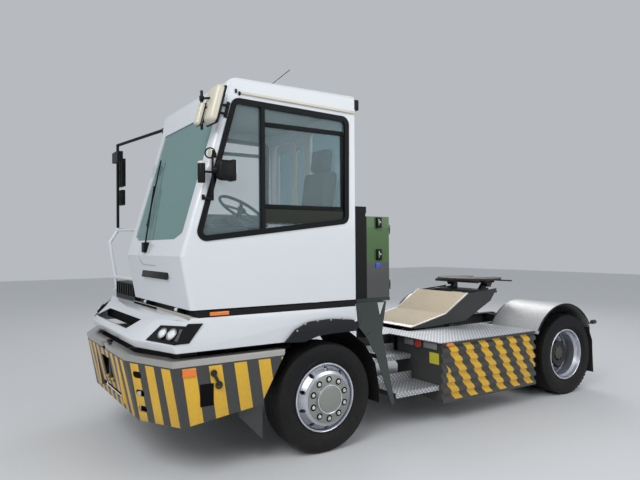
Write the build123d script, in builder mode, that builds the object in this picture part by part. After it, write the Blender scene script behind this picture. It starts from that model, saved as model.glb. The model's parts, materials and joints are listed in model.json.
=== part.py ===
from build123d import *
import os
from math import atan2, cos, degrees, hypot, radians, sin

# Terminal tractor: a yard tractor with a narrow tilting cab set to the left, an open deck,
# a lift boom with a fifth wheel, a steered front axle and twin rear wheels.
# Millimetres. X points to the vehicle's left, Y to its rear, Z up.
# The origin is on the ground, under the middle of the whole vehicle.

os.makedirs("parts", exist_ok=True)

# Lengths along the vehicle
FRONT_OVERHANG = 1590
WHEELBASE = 3470
REAR_OVERHANG = 640
Y_NOSE = -(FRONT_OVERHANG + WHEELBASE + REAR_OVERHANG) / 2
Y_FRONT_AXLE = Y_NOSE + FRONT_OVERHANG
Y_REAR_AXLE = Y_FRONT_AXLE + WHEELBASE
Y_TAIL = -Y_NOSE

# Widths
BODY_HALF = 1250
MIRROR_REACH = BODY_HALF + 120
SHEET = 8

# Gaps between pieces
SEAT_GAP = 0.3
MOVING_GAP = 6
PIN_GAP = 0.05
WELD_SEAM = 0.3

# Wheels and tyres
TYRE_RADIUS = 475
TYRE_WIDTH = 313
TREAD_WIDTH = 262
RIM_SEAT_RADIUS = 286
RIM_FLANGE_RADIUS = 298.5
RIM_HALF_WIDTH = 127
RIM_FLANGE = 11
NUT_FACE = 175
NUT_PLATE_RADIUS = 210
HUB_RADIUS = 124
HAND_HOLE_COUNT = 10
HAND_HOLE_RADIUS = 18
HAND_HOLE_PITCH_RADIUS = 252
FRONT_TYRE_X = BODY_HALF - 155
REAR_TYRE_X = BODY_HALF - 172
TWIN_SPACING = 2 * NUT_FACE
AXLE_Z = TYRE_RADIUS

# Chassis rails
RAIL_OUTSIDE = 425
RAIL_FLANGE = 80
RAIL_TOP = 800
RAIL_HEIGHT = 240
RAIL_WALL = 10
RAIL_BOTTOM = RAIL_TOP - RAIL_HEIGHT
RAIL_INSIDE = RAIL_OUTSIDE - RAIL_FLANGE
RAIL_WEB_INSIDE = RAIL_OUTSIDE - RAIL_WALL

# Mudguards over the rear wheels
GUARD_INNER = 560
GUARD_OUTER = BODY_HALF - 4
GUARD_SHEET = 5
GUARD_FOOT = (Y_REAR_AXLE - 579, 769)
GUARD_TOP = (Y_REAR_AXLE + 10, 1081)
GUARD_HEEL = (Y_REAR_AXLE + 431, 768)
STAY_REACH = 640

# Steering
KINGPIN_X = FRONT_TYRE_X - 195
KINGPIN_RADIUS = 25
KNUCKLE_EYE_RADIUS = 46
KNUCKLE_EYE_HEIGHT = 90
KNUCKLE_LUG = 50
SPINDLE_RADIUS = 45
DRUM_RADIUS = 205
STEER_ARM = 170
TIE_ROD_RADIUS = 18

# Deck and boxes beside the frame
DECK_TOP = 820
DECK_SHEET = 8
DECK_SKIRT = 34
DECK_JOINT = 3
DECK_FRONT = Y_FRONT_AXLE + 1345
DECK_REAR = Y_REAR_AXLE - TYRE_RADIUS - 155
DECK_INNER = 475
BOX_FRONT = DECK_FRONT + 40
BOX_BOTTOM = 210
BOX_INNER = 560
RIB_DEPTH = 26
RIB_COUNT = 6
RIB_BAND = 34
WALKWAY_FRONT = Y_FRONT_AXLE + 420
RIGHT_DECK_FRONT = Y_FRONT_AXLE + 830

# Cab
CAB_LEFT = BODY_HALF - 10
CAB_WIDTH = 1550
CAB_RIGHT = CAB_LEFT - CAB_WIDTH
CAB_MIDDLE = (CAB_LEFT + CAB_RIGHT) / 2
CAB_BOTTOM = 1310
CAB_WALL = 42
CAB_FLOOR = 50
CAB_REAR = Y_FRONT_AXLE + 320
CAB_FRONT = Y_FRONT_AXLE - 1220
BELT_Y = Y_FRONT_AXLE - 1295
BELT_Z = 1720
BROW_Y = Y_FRONT_AXLE - 950
BROW_Z = 2890
ROOF_LINE = 3000
ROOF_TOP = 3140
ROOF_NOSE_Y = Y_FRONT_AXLE - 920
ROOF_NOSE_RADIUS = 120
CAB_CORNER_RADIUS = 34
GLASS = 6
SEAL_WIDTH = 45
SEAL_PROUD = 7
WINDOW_CORNER = 75

# Front end
FAIRING_BOTTOM = 995
FAIRING_CREASE = 1060
FAIRING_BROW = 1220
FAIRING_TOP = 1250
FAIRING_WALL = 10
FAIRING_HALF = BODY_HALF - 10
BED_TOP = 1300
BUMPER_BOTTOM = 452
BUMPER_LIP_BOTTOM = 888
BUMPER_TOP = 943
BUMPER_WALL = 12
BUMPER_LIP_DEPTH = 105
BUMPER_NOSE_HALF = 700
BUMPER_CORNER_Y = Y_FRONT_AXLE - 1371
BUMPER_LEAN = 80
POCKET_HALF = 150
POCKET_LOW = 640
POCKET_HIGH = 830

# Lift boom and fifth wheel: their outlines are given from a datum that goes with the rear axle
BOOM_DATUM = Y_REAR_AXLE - 3470
BOOM_HALF = 450
BOOM_PLATE = 16
BOOM_PIVOT_Y = BOOM_DATUM + 1660
BOOM_PIVOT_Z = 735
BOOM_TUBE_RADIUS = 62
BOOM_PIN_RADIUS = 35
BOOM_PIVOT_X = 335
BOOM_REST = 835
RAMP_SHEET = 8
WALKWAY_REAR = BOOM_PIVOT_Y - 43
FIFTH_Y = BOOM_DATUM + 3120
FIFTH_TOP = 1362
FIFTH_PIVOT_Z = 1275
FIFTH_HALF = 465
KINGPIN_JAW_RADIUS = 26
CYLINDER_X = 241
CYLINDER_FOOT_Y = BOOM_DATUM + 2250
CYLINDER_FOOT_Z = 605
CYLINDER_EYE_Y = BOOM_DATUM + 2800
CYLINDER_EYE_Z = 1010
BARREL_RADIUS = 52
ROD_RADIUS = 30
CYLINDER_PIN_RADIUS = 22

# Locker column behind the cab
LOCKER_OUTSIDE = BODY_HALF - 100
LOCKER_INSIDE = LOCKER_OUTSIDE - 670
LOCKER_FRONT = Y_FRONT_AXLE + 518
LOCKER_REAR = Y_FRONT_AXLE + 792
LOCKER_BOTTOM = 1300
LOCKER_TOP = 2065
LOCKER_WALL = 6
DUCT_FRONT = Y_FRONT_AXLE + 392


def across(x, y, z):
    """A sketch plane that looks forward: local x across the vehicle, local y up."""
    return Plane(origin=(x, y, z), x_dir=(1, 0, 0), z_dir=(0, -1, 0))


def side_plane(x):
    """A sketch plane seen from the left: local x is Y, local y is Z."""
    return Plane.YZ.offset(x)


def block(x0, x1, y0, y1, z0, z1, mode=Mode.ADD):
    """A box given by its limits on the three axes."""
    with Locations(((x0 + x1) / 2, (y0 + y1) / 2, (z0 + z1) / 2)):
        Box(x1 - x0, y1 - y0, z1 - z0, mode=mode)


def rod_x(x0, x1, y, z, radius, mode=Mode.ADD):
    """A round bar along X between two places."""
    with Locations(Location(((x0 + x1) / 2, y, z), (0, 90, 0))):
        Cylinder(radius, abs(x1 - x0), mode=mode)


def rod_between(start, end, radius, mode=Mode.ADD):
    """A round bar between two points."""
    a = Vector(*start)
    b = Vector(*end)
    plane = Plane(origin=a, z_dir=b - a)
    with BuildSketch(plane) as section:
        Circle(radius)
    extrude(section.sketch, amount=(b - a).length, mode=mode)


def plate(x0, x1, points, mode=Mode.ADD):
    """A plate that stands along the vehicle, cut to a Y, Z outline."""
    with BuildSketch(side_plane(x0)) as outline:
        with BuildLine():
            Polyline(*points, close=True)
        make_face()
    extrude(outline.sketch, amount=x1 - x0, mode=mode)


# Tyres
def tyre(x_middle, y_axle):
    half = TYRE_WIDTH / 2
    bead = RIM_HALF_WIDTH - RIM_FLANGE - SEAT_GAP
    seat = RIM_SEAT_RADIUS + SEAT_GAP
    above_flange = RIM_FLANGE_RADIUS + 3
    widest = (seat + TYRE_RADIUS) / 2
    shoulder = TYRE_RADIUS - 14
    with BuildSketch(across(x_middle, y_axle, AXLE_Z)) as section:
        with BuildLine():
            Line((-bead, seat), (bead, seat))
            Line((bead, seat), (bead, above_flange))
            ThreePointArc((bead, above_flange), (half, widest), (TREAD_WIDTH / 2 + 14, shoulder))
            Line((TREAD_WIDTH / 2 + 14, shoulder), (TREAD_WIDTH / 2 - 12, TYRE_RADIUS - 2))
            ThreePointArc(
                (TREAD_WIDTH / 2 - 12, TYRE_RADIUS - 2), (0, TYRE_RADIUS), (-TREAD_WIDTH / 2 + 12, TYRE_RADIUS - 2)
            )
            Line((-TREAD_WIDTH / 2 + 12, TYRE_RADIUS - 2), (-TREAD_WIDTH / 2 - 14, shoulder))
            ThreePointArc((-TREAD_WIDTH / 2 - 14, shoulder), (-half, widest), (-bead, above_flange))
            Line((-bead, above_flange), (-bead, seat))
        make_face()
    revolve(section.sketch, axis=Axis((x_middle, y_axle, AXLE_Z), (1, 0, 0)))


# A pressed rim with its disc: out is 1 where the disc bulges to +X and -1 where it bulges to -X
def rim(x_middle, y_axle, out):
    barrel = [
        (RIM_HALF_WIDTH, RIM_FLANGE_RADIUS),
        (RIM_HALF_WIDTH - RIM_FLANGE, RIM_FLANGE_RADIUS),
        (RIM_HALF_WIDTH - RIM_FLANGE, RIM_SEAT_RADIUS),
        (52, RIM_SEAT_RADIUS - 4),
        (22, RIM_SEAT_RADIUS - 24),
        (-62, RIM_SEAT_RADIUS - 24),
        (-92, RIM_SEAT_RADIUS - 4),
        (-RIM_HALF_WIDTH + RIM_FLANGE, RIM_SEAT_RADIUS),
        (-RIM_HALF_WIDTH + RIM_FLANGE, RIM_FLANGE_RADIUS),
        (-RIM_HALF_WIDTH, RIM_FLANGE_RADIUS),
        (-RIM_HALF_WIDTH, RIM_SEAT_RADIUS - 4),
        (-98, RIM_SEAT_RADIUS - 13),
        (-68, RIM_SEAT_RADIUS - 34),
        (28, RIM_SEAT_RADIUS - 34),
        (58, RIM_SEAT_RADIUS - 13),
        (RIM_HALF_WIDTH, RIM_SEAT_RADIUS - 2),
    ]
    disc = [
        (72, RIM_SEAT_RADIUS - 10),
        (108, RIM_SEAT_RADIUS - 10),
        (NUT_FACE - 14, NUT_PLATE_RADIUS + 26),
        (NUT_FACE, NUT_PLATE_RADIUS),
        (NUT_FACE, HUB_RADIUS - 4),
        (NUT_FACE - 12, HUB_RADIUS - 4),
        (NUT_FACE - 12, NUT_PLATE_RADIUS - 4),
        (NUT_FACE - 26, NUT_PLATE_RADIUS + 18),
        (92, RIM_SEAT_RADIUS - 26),
        (72, RIM_SEAT_RADIUS - 22),
    ]
    with BuildSketch(across(x_middle, y_axle, AXLE_Z)) as section:
        for outline in (barrel, disc):
            with BuildLine():
                Polyline(*[(out * x, r) for x, r in outline], close=True)
            make_face()
    revolve(section.sketch, axis=Axis((x_middle, y_axle, AXLE_Z), (1, 0, 0)))
    with BuildSketch(Plane(origin=(x_middle + out * 84, y_axle, AXLE_Z), z_dir=(out, 0, 0))) as holes:
        with PolarLocations(HAND_HOLE_PITCH_RADIUS, HAND_HOLE_COUNT):
            Circle(HAND_HOLE_RADIUS)
    extrude(holes.sketch, amount=NUT_FACE - 60, mode=Mode.SUBTRACT)


SPINDLE_END = NUT_FACE - 30
DRUM_INNER = -112

with BuildPart() as front_tyre:
    tyre(FRONT_TYRE_X, Y_FRONT_AXLE)

# The front rim carries its hub and brake drum; the hub is bored for the spindle
with BuildPart() as front_rim:
    rim(FRONT_TYRE_X, Y_FRONT_AXLE, 1)
    rod_x(FRONT_TYRE_X + DRUM_INNER + 14, FRONT_TYRE_X + NUT_FACE + 12, Y_FRONT_AXLE, AXLE_Z, HUB_RADIUS)
    rod_x(FRONT_TYRE_X + DRUM_INNER, FRONT_TYRE_X + 50, Y_FRONT_AXLE, AXLE_Z, DRUM_RADIUS)
    rod_x(FRONT_TYRE_X + DRUM_INNER, FRONT_TYRE_X + 38, Y_FRONT_AXLE, AXLE_Z, DRUM_RADIUS - 14, mode=Mode.SUBTRACT)
    rod_x(FRONT_TYRE_X + DRUM_INNER + 14, FRONT_TYRE_X + 50, Y_FRONT_AXLE, AXLE_Z, HUB_RADIUS)
    rod_x(
        FRONT_TYRE_X + DRUM_INNER,
        FRONT_TYRE_X + SPINDLE_END + 2,
        Y_FRONT_AXLE,
        AXLE_Z,
        SPINDLE_RADIUS + PIN_GAP,
        mode=Mode.SUBTRACT,
    )

# Knuckle: kingpin with two lugs, carrier plate, spindle and steering arm
EYE_TOP = AXLE_Z + KNUCKLE_EYE_HEIGHT / 2
EYE_BOTTOM = AXLE_Z - KNUCKLE_EYE_HEIGHT / 2
CARRIER_INNER = KINGPIN_X + KNUCKLE_EYE_RADIUS + MOVING_GAP
CARRIER_OUTER = FRONT_TYRE_X + DRUM_INNER - MOVING_GAP
with BuildPart() as knuckle:
    with Locations((KINGPIN_X, Y_FRONT_AXLE, AXLE_Z)):
        Cylinder(KINGPIN_RADIUS, KNUCKLE_EYE_HEIGHT + 2 * MOVING_GAP + 2 * KNUCKLE_LUG)
    for low in (EYE_TOP + MOVING_GAP, EYE_BOTTOM - MOVING_GAP - KNUCKLE_LUG):
        with Locations((KINGPIN_X, Y_FRONT_AXLE, low + KNUCKLE_LUG / 2)):
            Cylinder(KNUCKLE_EYE_RADIUS, KNUCKLE_LUG)
        block(KINGPIN_X, CARRIER_INNER, Y_FRONT_AXLE - 42, Y_FRONT_AXLE + 42, low, low + KNUCKLE_LUG)
    rod_x(CARRIER_INNER, CARRIER_OUTER, Y_FRONT_AXLE, AXLE_Z, DRUM_RADIUS - 50)
    rod_x(CARRIER_INNER, FRONT_TYRE_X + SPINDLE_END, Y_FRONT_AXLE, AXLE_Z, SPINDLE_RADIUS)
    block(
        KINGPIN_X - 22,
        KINGPIN_X + 22,
        Y_FRONT_AXLE + 20,
        Y_FRONT_AXLE + STEER_ARM,
        EYE_BOTTOM - MOVING_GAP - KNUCKLE_LUG,
        EYE_BOTTOM - MOVING_GAP - KNUCKLE_LUG + 28,
    )
    with Locations((KINGPIN_X, Y_FRONT_AXLE + STEER_ARM, EYE_BOTTOM - MOVING_GAP - KNUCKLE_LUG + 14)):
        Cylinder(30, 28)
        Cylinder(14 + PIN_GAP, 28, mode=Mode.SUBTRACT)

# Tie rod between the two steering arms: a ball stud drops into the left arm, the right eye is open
ARM_BOTTOM = EYE_BOTTOM - MOVING_GAP - KNUCKLE_LUG
TIE_ROD_Z = ARM_BOTTOM - MOVING_GAP - TIE_ROD_RADIUS
with BuildPart() as tie_rod:
    rod_x(-KINGPIN_X, KINGPIN_X, Y_FRONT_AXLE + STEER_ARM, TIE_ROD_Z, TIE_ROD_RADIUS)
    for x in (-KINGPIN_X, KINGPIN_X):
        with Locations((x, Y_FRONT_AXLE + STEER_ARM, TIE_ROD_Z)):
            Sphere(TIE_ROD_RADIUS + 8)
    with Locations((KINGPIN_X, Y_FRONT_AXLE + STEER_ARM, TIE_ROD_Z)):
        Cylinder(14, ARM_BOTTOM + 28 - TIE_ROD_Z, align=(Align.CENTER, Align.CENTER, Align.MIN))
tie_rod.part.label = "tie_rod"
export_step(tie_rod.part, "parts/tie_rod.step")

# Rear twins: two rims back to back on one hub
with BuildPart() as rear_rims:
    rim(REAR_TYRE_X, Y_REAR_AXLE, -1)
    rim(REAR_TYRE_X - TWIN_SPACING, Y_REAR_AXLE, 1)
    rod_x(REAR_TYRE_X - TWIN_SPACING + 20, REAR_TYRE_X + 30, Y_REAR_AXLE, AXLE_Z, HUB_RADIUS + 20)
    rod_x(
        REAR_TYRE_X - TWIN_SPACING + 20,
        REAR_TYRE_X - 60,
        Y_REAR_AXLE,
        AXLE_Z,
        SPINDLE_RADIUS + PIN_GAP,
        mode=Mode.SUBTRACT,
    )

with BuildPart() as rear_tyres:
    for x in (REAR_TYRE_X, REAR_TYRE_X - TWIN_SPACING):
        tyre(x, Y_REAR_AXLE)

for side in ("left", "right"):
    for name, made in (
        ("front_tyre", front_tyre),
        ("front_rim", front_rim),
        ("knuckle", knuckle),
        ("rear_rims", rear_rims),
        ("rear_tyres", rear_tyres),
    ):
        with BuildPart() as wheel_piece:
            if side == "left":
                add(made.part)
            else:
                mirror(made.part, about=Plane.YZ)
        wheel_piece.part.label = f"{name}_{side}"
        export_step(wheel_piece.part, f"parts/{name}_{side}.step")

# Front axle: dropped beam with an eye at each end, under two leaf springs
SPRING_TOP = RAIL_BOTTOM - 14
SPRING_THICKNESS = 54
SPRING_HALF_WIDTH = 38
SPRING_X = RAIL_INSIDE + RAIL_FLANGE / 2
SPRING_REACH = 620
BEAM_TOP = SPRING_TOP - SPRING_THICKNESS
BEAM_DEPTH = 115
BEAM_HALF_WIDTH = 44
with BuildPart() as front_axle:
    with BuildSketch(across(0, Y_FRONT_AXLE + BEAM_HALF_WIDTH, 0)):
        with BuildLine():
            Polyline(
                (-KINGPIN_X, EYE_TOP - 6),
                (-KINGPIN_X + 110, EYE_TOP - 6),
                (-KINGPIN_X + 230, BEAM_TOP),
                (KINGPIN_X - 230, BEAM_TOP),
                (KINGPIN_X - 110, EYE_TOP - 6),
                (KINGPIN_X, EYE_TOP - 6),
                (KINGPIN_X, EYE_BOTTOM + 6),
                (KINGPIN_X - 100, EYE_BOTTOM + 6),
                (KINGPIN_X - 260, BEAM_TOP - BEAM_DEPTH),
                (-KINGPIN_X + 260, BEAM_TOP - BEAM_DEPTH),
                (-KINGPIN_X + 100, EYE_BOTTOM + 6),
                (-KINGPIN_X, EYE_BOTTOM + 6),
                close=True,
            )
        make_face()
    extrude(amount=2 * BEAM_HALF_WIDTH)
    for side in (-1, 1):
        block(
            -KINGPIN_X + 280,
            KINGPIN_X - 280,
            Y_FRONT_AXLE + side * BEAM_HALF_WIDTH - 26,
            Y_FRONT_AXLE + side * BEAM_HALF_WIDTH + 26,
            BEAM_TOP - BEAM_DEPTH + 24,
            BEAM_TOP - 24,
            mode=Mode.SUBTRACT,
        )
        with Locations((side * KINGPIN_X, Y_FRONT_AXLE, AXLE_Z)):
            Cylinder(KNUCKLE_EYE_RADIUS, KNUCKLE_EYE_HEIGHT)
            Cylinder(KINGPIN_RADIUS + PIN_GAP, KNUCKLE_EYE_HEIGHT, mode=Mode.SUBTRACT)
        for reach, drop in ((SPRING_REACH, 0), (SPRING_REACH * 0.66, 1), (SPRING_REACH * 0.36, 2)):
            block(
                side * SPRING_X - SPRING_HALF_WIDTH,
                side * SPRING_X + SPRING_HALF_WIDTH,
                Y_FRONT_AXLE - reach,
                Y_FRONT_AXLE + reach,
                SPRING_TOP - (drop + 1) * SPRING_THICKNESS / 3,
                SPRING_TOP - drop * SPRING_THICKNESS / 3,
            )
front_axle.part.label = "front_axle"
export_step(front_axle.part, "parts/front_axle.step")

# Rear axle: straight housing with a round differential, bolted to the rails on pads
AXLE_TUBE_RADIUS = 78
DIFF_RADIUS = 205
with BuildPart() as rear_axle:
    tube_end = REAR_TYRE_X - TWIN_SPACING - RIM_HALF_WIDTH
    rod_x(-tube_end, tube_end, Y_REAR_AXLE, AXLE_Z, AXLE_TUBE_RADIUS)
    for side in (-1, 1):
        rod_x(side * tube_end, side * (REAR_TYRE_X - 62), Y_REAR_AXLE, AXLE_Z, SPINDLE_RADIUS)
        block(
            side * SPRING_X - 45,
            side * SPRING_X + 45,
            Y_REAR_AXLE - 110,
            Y_REAR_AXLE + 110,
            AXLE_Z,
            RAIL_BOTTOM,
        )
    with Locations(Location((0, Y_REAR_AXLE, AXLE_Z), (90, 0, 0))):
        Cylinder(DIFF_RADIUS * 0.8, 2 * DIFF_RADIUS * 0.8)
    with Locations(Location((0, Y_REAR_AXLE, AXLE_Z), (0, 90, 0))):
        Cylinder(DIFF_RADIUS * 0.9, 260)
    with Locations(Location((0, Y_REAR_AXLE - DIFF_RADIUS - 30, AXLE_Z), (90, 0, 0))):
        Cylinder(62, 120)
rear_axle.part.label = "rear_axle"
export_step(rear_axle.part, "parts/rear_axle.step")

# Engine and gearbox as one plain heavy block
ENGINE_HALF = 300
ENGINE_FRONT = Y_FRONT_AXLE - 820
ENGINE_REAR = Y_FRONT_AXLE + 340
ENGINE_BOTTOM = 600
ENGINE_TOP = 1180
GEARBOX_REAR = Y_FRONT_AXLE + 960
SHAFT_Z = 590
with BuildPart() as engine_block:
    block(-ENGINE_HALF, ENGINE_HALF, ENGINE_FRONT, ENGINE_REAR, ENGINE_BOTTOM, ENGINE_TOP)
    block(-210, 210, ENGINE_REAR, GEARBOX_REAR, ENGINE_BOTTOM - 60, DECK_TOP - 60)
    for y in (ENGINE_FRONT + 160, ENGINE_REAR - 160):
        block(-RAIL_WEB_INSIDE, RAIL_WEB_INSIDE, y - 40, y + 40, ENGINE_BOTTOM + 30, ENGINE_BOTTOM + 90)
engine_block.part.label = "engine_block"
export_step(engine_block.part, "parts/engine_block.step")

# Drive shaft from the gearbox to the rear axle
with BuildPart() as drive_shaft:
    shaft_end = (0, Y_REAR_AXLE - DIFF_RADIUS - 90, AXLE_Z)
    rod_between((0, GEARBOX_REAR + 25, SHAFT_Z), (0, shaft_end[1] - 25, AXLE_Z), 42)
    for y, z in ((GEARBOX_REAR + 25, SHAFT_Z), (shaft_end[1] - 25, AXLE_Z)):
        with Locations(Location((0, y, z), (90, 0, 0))):
            Cylinder(68, 50)
drive_shaft.part.label = "drive_shaft"
export_step(drive_shaft.part, "parts/drive_shaft.step")

# Chassis frame: each rail is a web with two flanges welded on, and two beams cross under the cab
FRAME_FRONT = Y_NOSE + 120
FRAME_REAR = Y_TAIL - 60
BED_BEAM_REACH = FAIRING_HALF - FAIRING_WALL
BED_BEAM_BOTTOM = ENGINE_TOP + 12
BED_BEAMS = (CAB_FRONT + 160, CAB_REAR - 120)


def mirrored_block(x0, x1, y0, y1, z0, z1):
    """The same block on the left and on the right; x is measured outward."""
    block(x0, x1, y0, y1, z0, z1)
    block(-x1, -x0, y0, y1, z0, z1)


with BuildPart() as chassis_frame:
    mirrored_block(RAIL_WEB_INSIDE, RAIL_OUTSIDE, FRAME_FRONT, FRAME_REAR, RAIL_BOTTOM, RAIL_TOP)
    for z in (RAIL_BOTTOM, RAIL_TOP - RAIL_WALL):
        mirrored_block(RAIL_INSIDE, RAIL_WEB_INSIDE - WELD_SEAM, FRAME_FRONT, FRAME_REAR, z, z + RAIL_WALL)
    for y in BED_BEAMS:
        block(-BED_BEAM_REACH, BED_BEAM_REACH, y - 35, y + 35, BED_BEAM_BOTTOM, FAIRING_TOP - FAIRING_WALL)
chassis_frame.part.label = "chassis_frame"
export_step(chassis_frame.part, "parts/chassis_frame.step")

# Frame members: everything that is bolted to the rails
with BuildPart() as frame_members:
    # Spring hangers
    for y in (Y_FRONT_AXLE - SPRING_REACH, Y_FRONT_AXLE + SPRING_REACH):
        mirrored_block(SPRING_X - SPRING_HALF_WIDTH, SPRING_X + SPRING_HALF_WIDTH, y - 40, y + 40, SPRING_TOP, RAIL_BOTTOM)
    # Posts under the beams that carry the cab
    for y in BED_BEAMS:
        mirrored_block(RAIL_OUTSIDE - 60, RAIL_OUTSIDE, y - 35, y + 35, RAIL_TOP, BED_BEAM_BOTTOM)
    # Bumper brackets
    mirrored_block(
        RAIL_OUTSIDE,
        RAIL_OUTSIDE + 40,
        FRAME_FRONT,
        FRAME_FRONT + 60,
        BUMPER_BOTTOM + 60,
        RAIL_TOP,
    )
    # Outriggers under the deck and its right front plate
    for y in (BOX_FRONT + 200, DECK_REAR - 250):
        mirrored_block(RAIL_OUTSIDE, BOX_INNER, y - 40, y + 40, RAIL_TOP - 150, RAIL_TOP - 40)
    for y in (RIGHT_DECK_FRONT + 60, DECK_FRONT - 60):
        block(
            -BODY_HALF + 120,
            -RAIL_OUTSIDE - WELD_SEAM,
            y - 25,
            y + 25,
            DECK_TOP - DECK_SHEET - 60,
            DECK_TOP - DECK_SHEET,
        )
    # Rest pads for the boom
    mirrored_block(
        RAIL_OUTSIDE - 25,
        RAIL_OUTSIDE + 25,
        BOOM_DATUM + 2300,
        BOOM_DATUM + 2400,
        RAIL_TOP,
        BOOM_REST - SEAT_GAP,
    )
    # Mudguard stays
    for y in (Y_REAR_AXLE - 500, GUARD_HEEL[0] + 9 + 20):
        mirrored_block(RAIL_OUTSIDE, STAY_REACH, y - 20, y + 20, RAIL_TOP - 90, RAIL_TOP - 50)
    # Cross members between the webs
    for y, low in (
        (FRAME_FRONT + 90, RAIL_BOTTOM + RAIL_WALL + 2),
        (Y_FRONT_AXLE + 1180, RAIL_BOTTOM + 140),
        (BOOM_DATUM + 2100, RAIL_BOTTOM + 140),
        (Y_REAR_AXLE + 420, RAIL_BOTTOM + RAIL_WALL + 2),
        (FRAME_REAR - 20, RAIL_BOTTOM + RAIL_WALL + 2),
    ):
        block(-RAIL_WEB_INSIDE, RAIL_WEB_INSIDE, y - 20, y + 20, low, RAIL_TOP - RAIL_WALL - 2)
    # Bearers that lift the walkway to the deck's height, and the skirts under the side decks
    mirrored_block(RAIL_OUTSIDE - 40, RAIL_OUTSIDE, WALKWAY_FRONT, WALKWAY_REAR, RAIL_TOP, DECK_TOP - DECK_SHEET)
    mirrored_block(
        DECK_INNER, DECK_INNER + 6, DECK_FRONT, DECK_REAR, DECK_TOP - DECK_SKIRT, DECK_TOP - DECK_SHEET
    )
frame_members.part.label = "frame_members"
export_step(frame_members.part, "parts/frame_members.step")

# Frame pins: the boom turns on two of them, and the lift cylinders on the others
with BuildPart() as frame_pins:
    for side in (-1, 1):
        rod_x(side * RAIL_WEB_INSIDE, side * BOOM_PIVOT_X, BOOM_PIVOT_Y, BOOM_PIVOT_Z, 48)
        rod_x(side * BOOM_PIVOT_X, side * (BOOM_PIVOT_X - 60), BOOM_PIVOT_Y, BOOM_PIVOT_Z, BOOM_PIN_RADIUS)
        rod_x(
            side * RAIL_WEB_INSIDE,
            side * (CYLINDER_X - 40),
            CYLINDER_FOOT_Y,
            CYLINDER_FOOT_Z,
            CYLINDER_PIN_RADIUS,
        )
frame_pins.part.label = "frame_pins"
export_step(frame_pins.part, "parts/frame_pins.step")


# Front bumper: a heavy plate folded round the nose, leaning in towards its foot, under a rolled lip
def bumper_plan(inset, fold):
    """Half plan of the bumper as X, Y points; fold is 0 at the lip and 1 at the foot."""
    slope = (Y_NOSE - BUMPER_CORNER_Y) / (BODY_HALF - BUMPER_NOSE_HALF)
    corner_y = BUMPER_CORNER_Y + fold * BUMPER_LEAN
    nose_half = BUMPER_NOSE_HALF + fold * 60
    nose_y = corner_y + slope * (BODY_HALF - nose_half)
    rear_y = Y_FRONT_AXLE - 300
    return [
        (BODY_HALF - inset, rear_y),
        (BODY_HALF - inset, corner_y + inset * 0.6),
        (nose_half - inset * 0.2, nose_y + inset),
    ]


def bumper_face(z):
    """Y of the bumper's front face at a height."""
    return Y_NOSE + BUMPER_LEAN * (BUMPER_TOP - z) / (BUMPER_TOP - BUMPER_BOTTOM)


def both_sides(half):
    """Closes a half plan with its mirror image."""
    return half + [(-x, y) for x, y in reversed(half)]


def plan_loft(sections, mode=Mode.ADD):
    """A body through plan outlines, each given with its height."""
    outlines = []
    for points, z in sections:
        with BuildSketch(Plane.XY.offset(z)) as outline:
            with BuildLine():
                Polyline(*points, close=True)
            make_face()
        outlines.append(outline.sketch)
    loft(outlines, ruled=True, mode=mode)


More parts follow.
